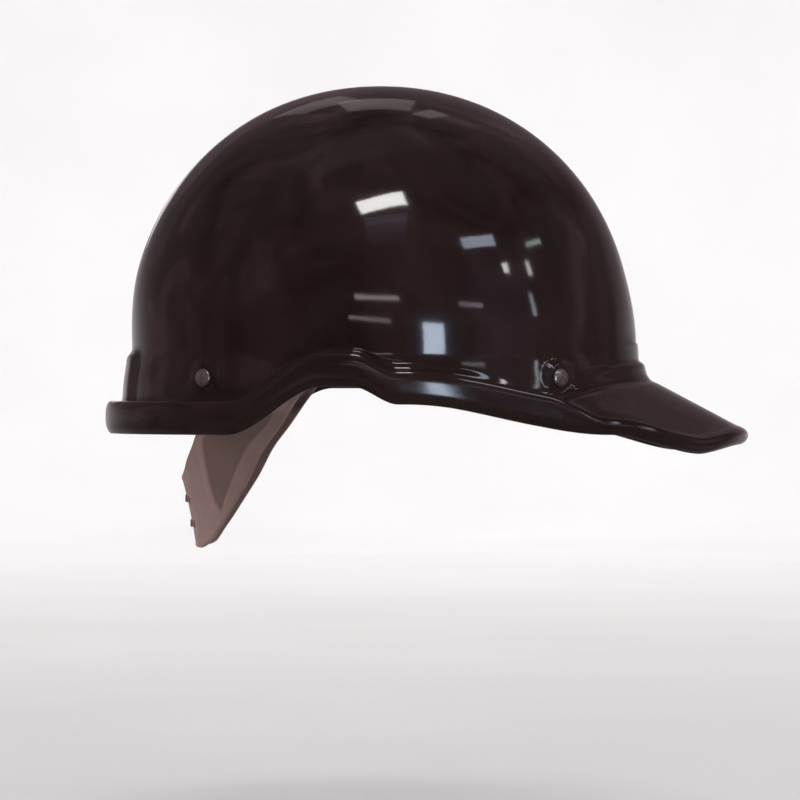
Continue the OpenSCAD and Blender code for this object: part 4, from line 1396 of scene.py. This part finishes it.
def area(name, loc, target, sx, sy, radiance, color=(1, 1, 1), roll=0.0):
    """Softbox of sx by sy metres that faces the target. Its brightness is given, so the size doesn't change it."""
    ld = bpy.data.lights.new(name, "AREA")
    ld.shape = "RECTANGLE"
    ld.size, ld.size_y = sx, sy
    ld.energy = radiance * math.pi * sx * sy
    ld.color = color
    ob = link(bpy.data.objects.new(name, ld))
    ob.location = loc
    ob.rotation_euler = (Vector(target) - Vector(loc)).to_track_quat("-Z", "Y").to_euler()
    ob.rotation_euler.rotate_axis("Z", math.radians(roll))
    ob.visible_camera = False
    return ob


stage = build_stage()
stage.visible_glossy = False
C = (0.0, 0.0, 0.06)
area("key_softbox", (0.01, -0.99, 1.385), C, 0.50, 0.18, 19, (1.0, 0.985, 0.97), 17)
area("window", (0.565, -1.62, -0.045), (0.015, -0.10, 0.045), 0.25, 0.60, 13, (0.70, 0.83, 1.0))
area("window_surround", (0.60, -1.66, -0.045), (0.015, -0.10, 0.045), 0.46, 0.70, 0.30, (0.42, 0.60, 1.0))
area("window_glow", (0.66, -1.70, -0.045), (0.015, -0.10, 0.045), 0.80, 0.86, 0.09, (0.40, 0.56, 1.0))
area("cool_panel", (1.001, -0.951, 0.984), C, 0.42, 0.13, 6.0, (0.72, 0.82, 1.0))
area("pale_panel", (1.414, -0.342, 0.886), C, 0.26, 0.045, 5.0, (0.84, 1.0, 0.86))
area("lamp_a", (1.275, -0.86, 0.75), C, 0.08, 0.08, 12)
area("lamp_b", (1.435, -0.58, 0.72), C, 0.06, 0.10, 9)
area("strip_a", (-0.06, -1.634, 0.466), C, 0.50, 0.045, 4.2, (1.0, 0.96, 0.90))
area("strip_b", (-0.157, -1.663, 0.244), C, 0.48, 0.035, 2.6, (1.0, 0.96, 0.92))
area("strip_c", (0.962, -1.331, 0.447), C, 0.285, 0.04, 2.6, (0.86, 0.92, 1.0))
area("bar", (1.394, -0.649, 0.421), C, 0.045, 0.20, 4.8, (0.82, 0.90, 1.0))
# a side light for the tan strap and the underside, too weak at a slant to mark the gloss
fill = area("rear_fill", (-0.66, 0.24, -0.13), (-0.085, -0.02, -0.035), 0.22, 0.12, 1.5, (1.0, 0.91, 0.89))
fill.visible_glossy = False
fill.data.spread = math.radians(36)
area("sky_a", (0.05, -1.13, 1.20), C, 0.44, 0.11, 0.55, (0.66, 0.74, 1.0), 6)
area("sky_b", (0.06, -1.21, 1.12), C, 0.42, 0.11, 0.32, (0.62, 0.70, 1.0), 4)
area("sky_c", (0.06, -1.29, 1.03), C, 0.40, 0.12, 0.15, (0.60, 0.68, 1.0), 2)
area("blue_room", (1.25, -1.05, 0.42), C, 0.85, 0.75, 0.08, (0.42, 0.55, 1.0))
area("rear_wall", (-0.40, 1.45, 0.36), (0, 0, 0.02), 0.40, 0.16, 0.9, (1.0, 0.95, 0.96))
area("crown_panel", (-0.03, 1.15, 1.70), C, 0.48, 0.50, 0.48, (1.0, 0.90, 0.90))
area("crown_panel_b", (0.371, 0.961, 1.816), C, 0.17, 0.34, 0.55, (1.0, 0.92, 0.95))
area("crown_panel_c", (-0.364, 1.404, 1.441), C, 0.40, 0.45, 0.28, (1.0, 0.92, 0.90))
area("veil", (-0.185, -0.081, 1.548), C, 0.52, 1.10, 0.06, (1.0, 0.92, 0.84))
# lights the pale stage only at a slant, from in front of the back wall
for q in range(4):
    a = math.radians(90 * q)
    wash = area("wall_washer_%d" % q, (2.5 * math.sin(a), 2.5 * math.cos(a), 3.4), (4.6 * math.sin(a), 4.6 * math.cos(a), 0.4),
                2.6, 0.9, (12.6, 4.5, 2.2, 3.8)[q])
    wash.visible_glossy = False

world = bpy.data.worlds.new("studio")
bpy.context.scene.world = world
world.use_nodes = True
wn = world.node_tree
wn.nodes.clear()


def wnode(kind, **kw):
    node = wn.nodes.new(kind)
    for k, v in kw.items():
        setattr(node, k, v)
    return node


def wramp(src, out, stops):
    r = wnode("ShaderNodeValToRGB")
    el = r.color_ramp.elements
    el[0].position, el[0].color = stops[0][0], (*stops[0][1], 1)
    el[1].position, el[1].color = stops[-1][0], (*stops[-1][1], 1)
    for pos, c in stops[1:-1]:
        e = el.new(pos)
        e.color = (*c, 1)
    wn.links.new(src.outputs[out], r.inputs["Fac"])
    return r


def grey(v, t=0.0):
    return (v * (1 + t), v, v * (1 - t))


wout = wnode("ShaderNodeOutputWorld")
wbg = wnode("ShaderNodeBackground")
wtc = wnode("ShaderNodeTexCoord")
wsep = wnode("ShaderNodeSeparateXYZ")
wn.links.new(wtc.outputs["Generated"], wsep.inputs[0])


def half(out):
    m = wnode("ShaderNodeMapRange")
    wn.links.new(wsep.outputs[out], m.inputs["Value"])
    m.inputs["From Min"].default_value = -1.0
    m.inputs["From Max"].default_value = 1.0
    return m


# brightness by height (0 straight down, 0.5 level, 1 straight up), in front of the object and behind it
hz = half("Z")
front = wramp(hz, 0, [(0.0, grey(0.17)), (0.40, grey(0.15)), (0.50, grey(0.13)), (0.70, grey(0.12)), (1.0, grey(0.17))])
behind = wramp(hz, 0, [(0.0, grey(0.22)), (0.42, (0.36, 0.32, 0.33)), (0.50, (0.62, 0.55, 0.57)), (0.535, (0.46, 0.40, 0.42)), (0.585, (0.26, 0.21, 0.23)), (0.66, (0.16, 0.12, 0.13)), (0.85, (0.20, 0.14, 0.16)), (1.0, (0.13, 0.10, 0.11))])
uneven = wnode("ShaderNodeTexNoise")
uneven.inputs["Scale"].default_value = 2.1
uneven.inputs["Detail"].default_value = 4.0
uneven.inputs["Roughness"].default_value = 0.6
uneven.inputs["Distortion"].default_value = 0.8
wn.links.new(wtc.outputs["Generated"], uneven.inputs["Vector"])
tone = wramp(uneven, 0, [(0.34, (0.20, 0.18, 0.16)), (0.45, (0.72, 0.68, 0.62)), (0.55, (1.25, 0.93, 0.98)), (0.68, (2.6, 1.8, 2.05))])
front_tone = wnode("ShaderNodeMix", data_type="RGBA", blend_type="MULTIPLY")
front_tone.inputs[0].default_value = 1.0
wn.links.new(front.outputs[0], front_tone.inputs[6])
wn.links.new(tone.outputs[0], front_tone.inputs[7])
hy = half("Y")
side = wramp(hy, 0, [(0.0, grey(0.0)), (0.77, grey(0.0)), (0.975, grey(1.0)), (1.0, grey(1.0))])
wmix = wnode("ShaderNodeMix", data_type="RGBA")
wn.links.new(side.outputs[0], wmix.inputs[0])
wn.links.new(front_tone.outputs[2], wmix.inputs[6])
wn.links.new(behind.outputs[0], wmix.inputs[7])
wn.links.new(wmix.outputs[2], wbg.inputs["Color"])
wbg.inputs["Strength"].default_value = 1.0
wn.links.new(wbg.outputs[0], wout.inputs[0])
bpy.context.scene.view_settings.view_transform = "Standard"
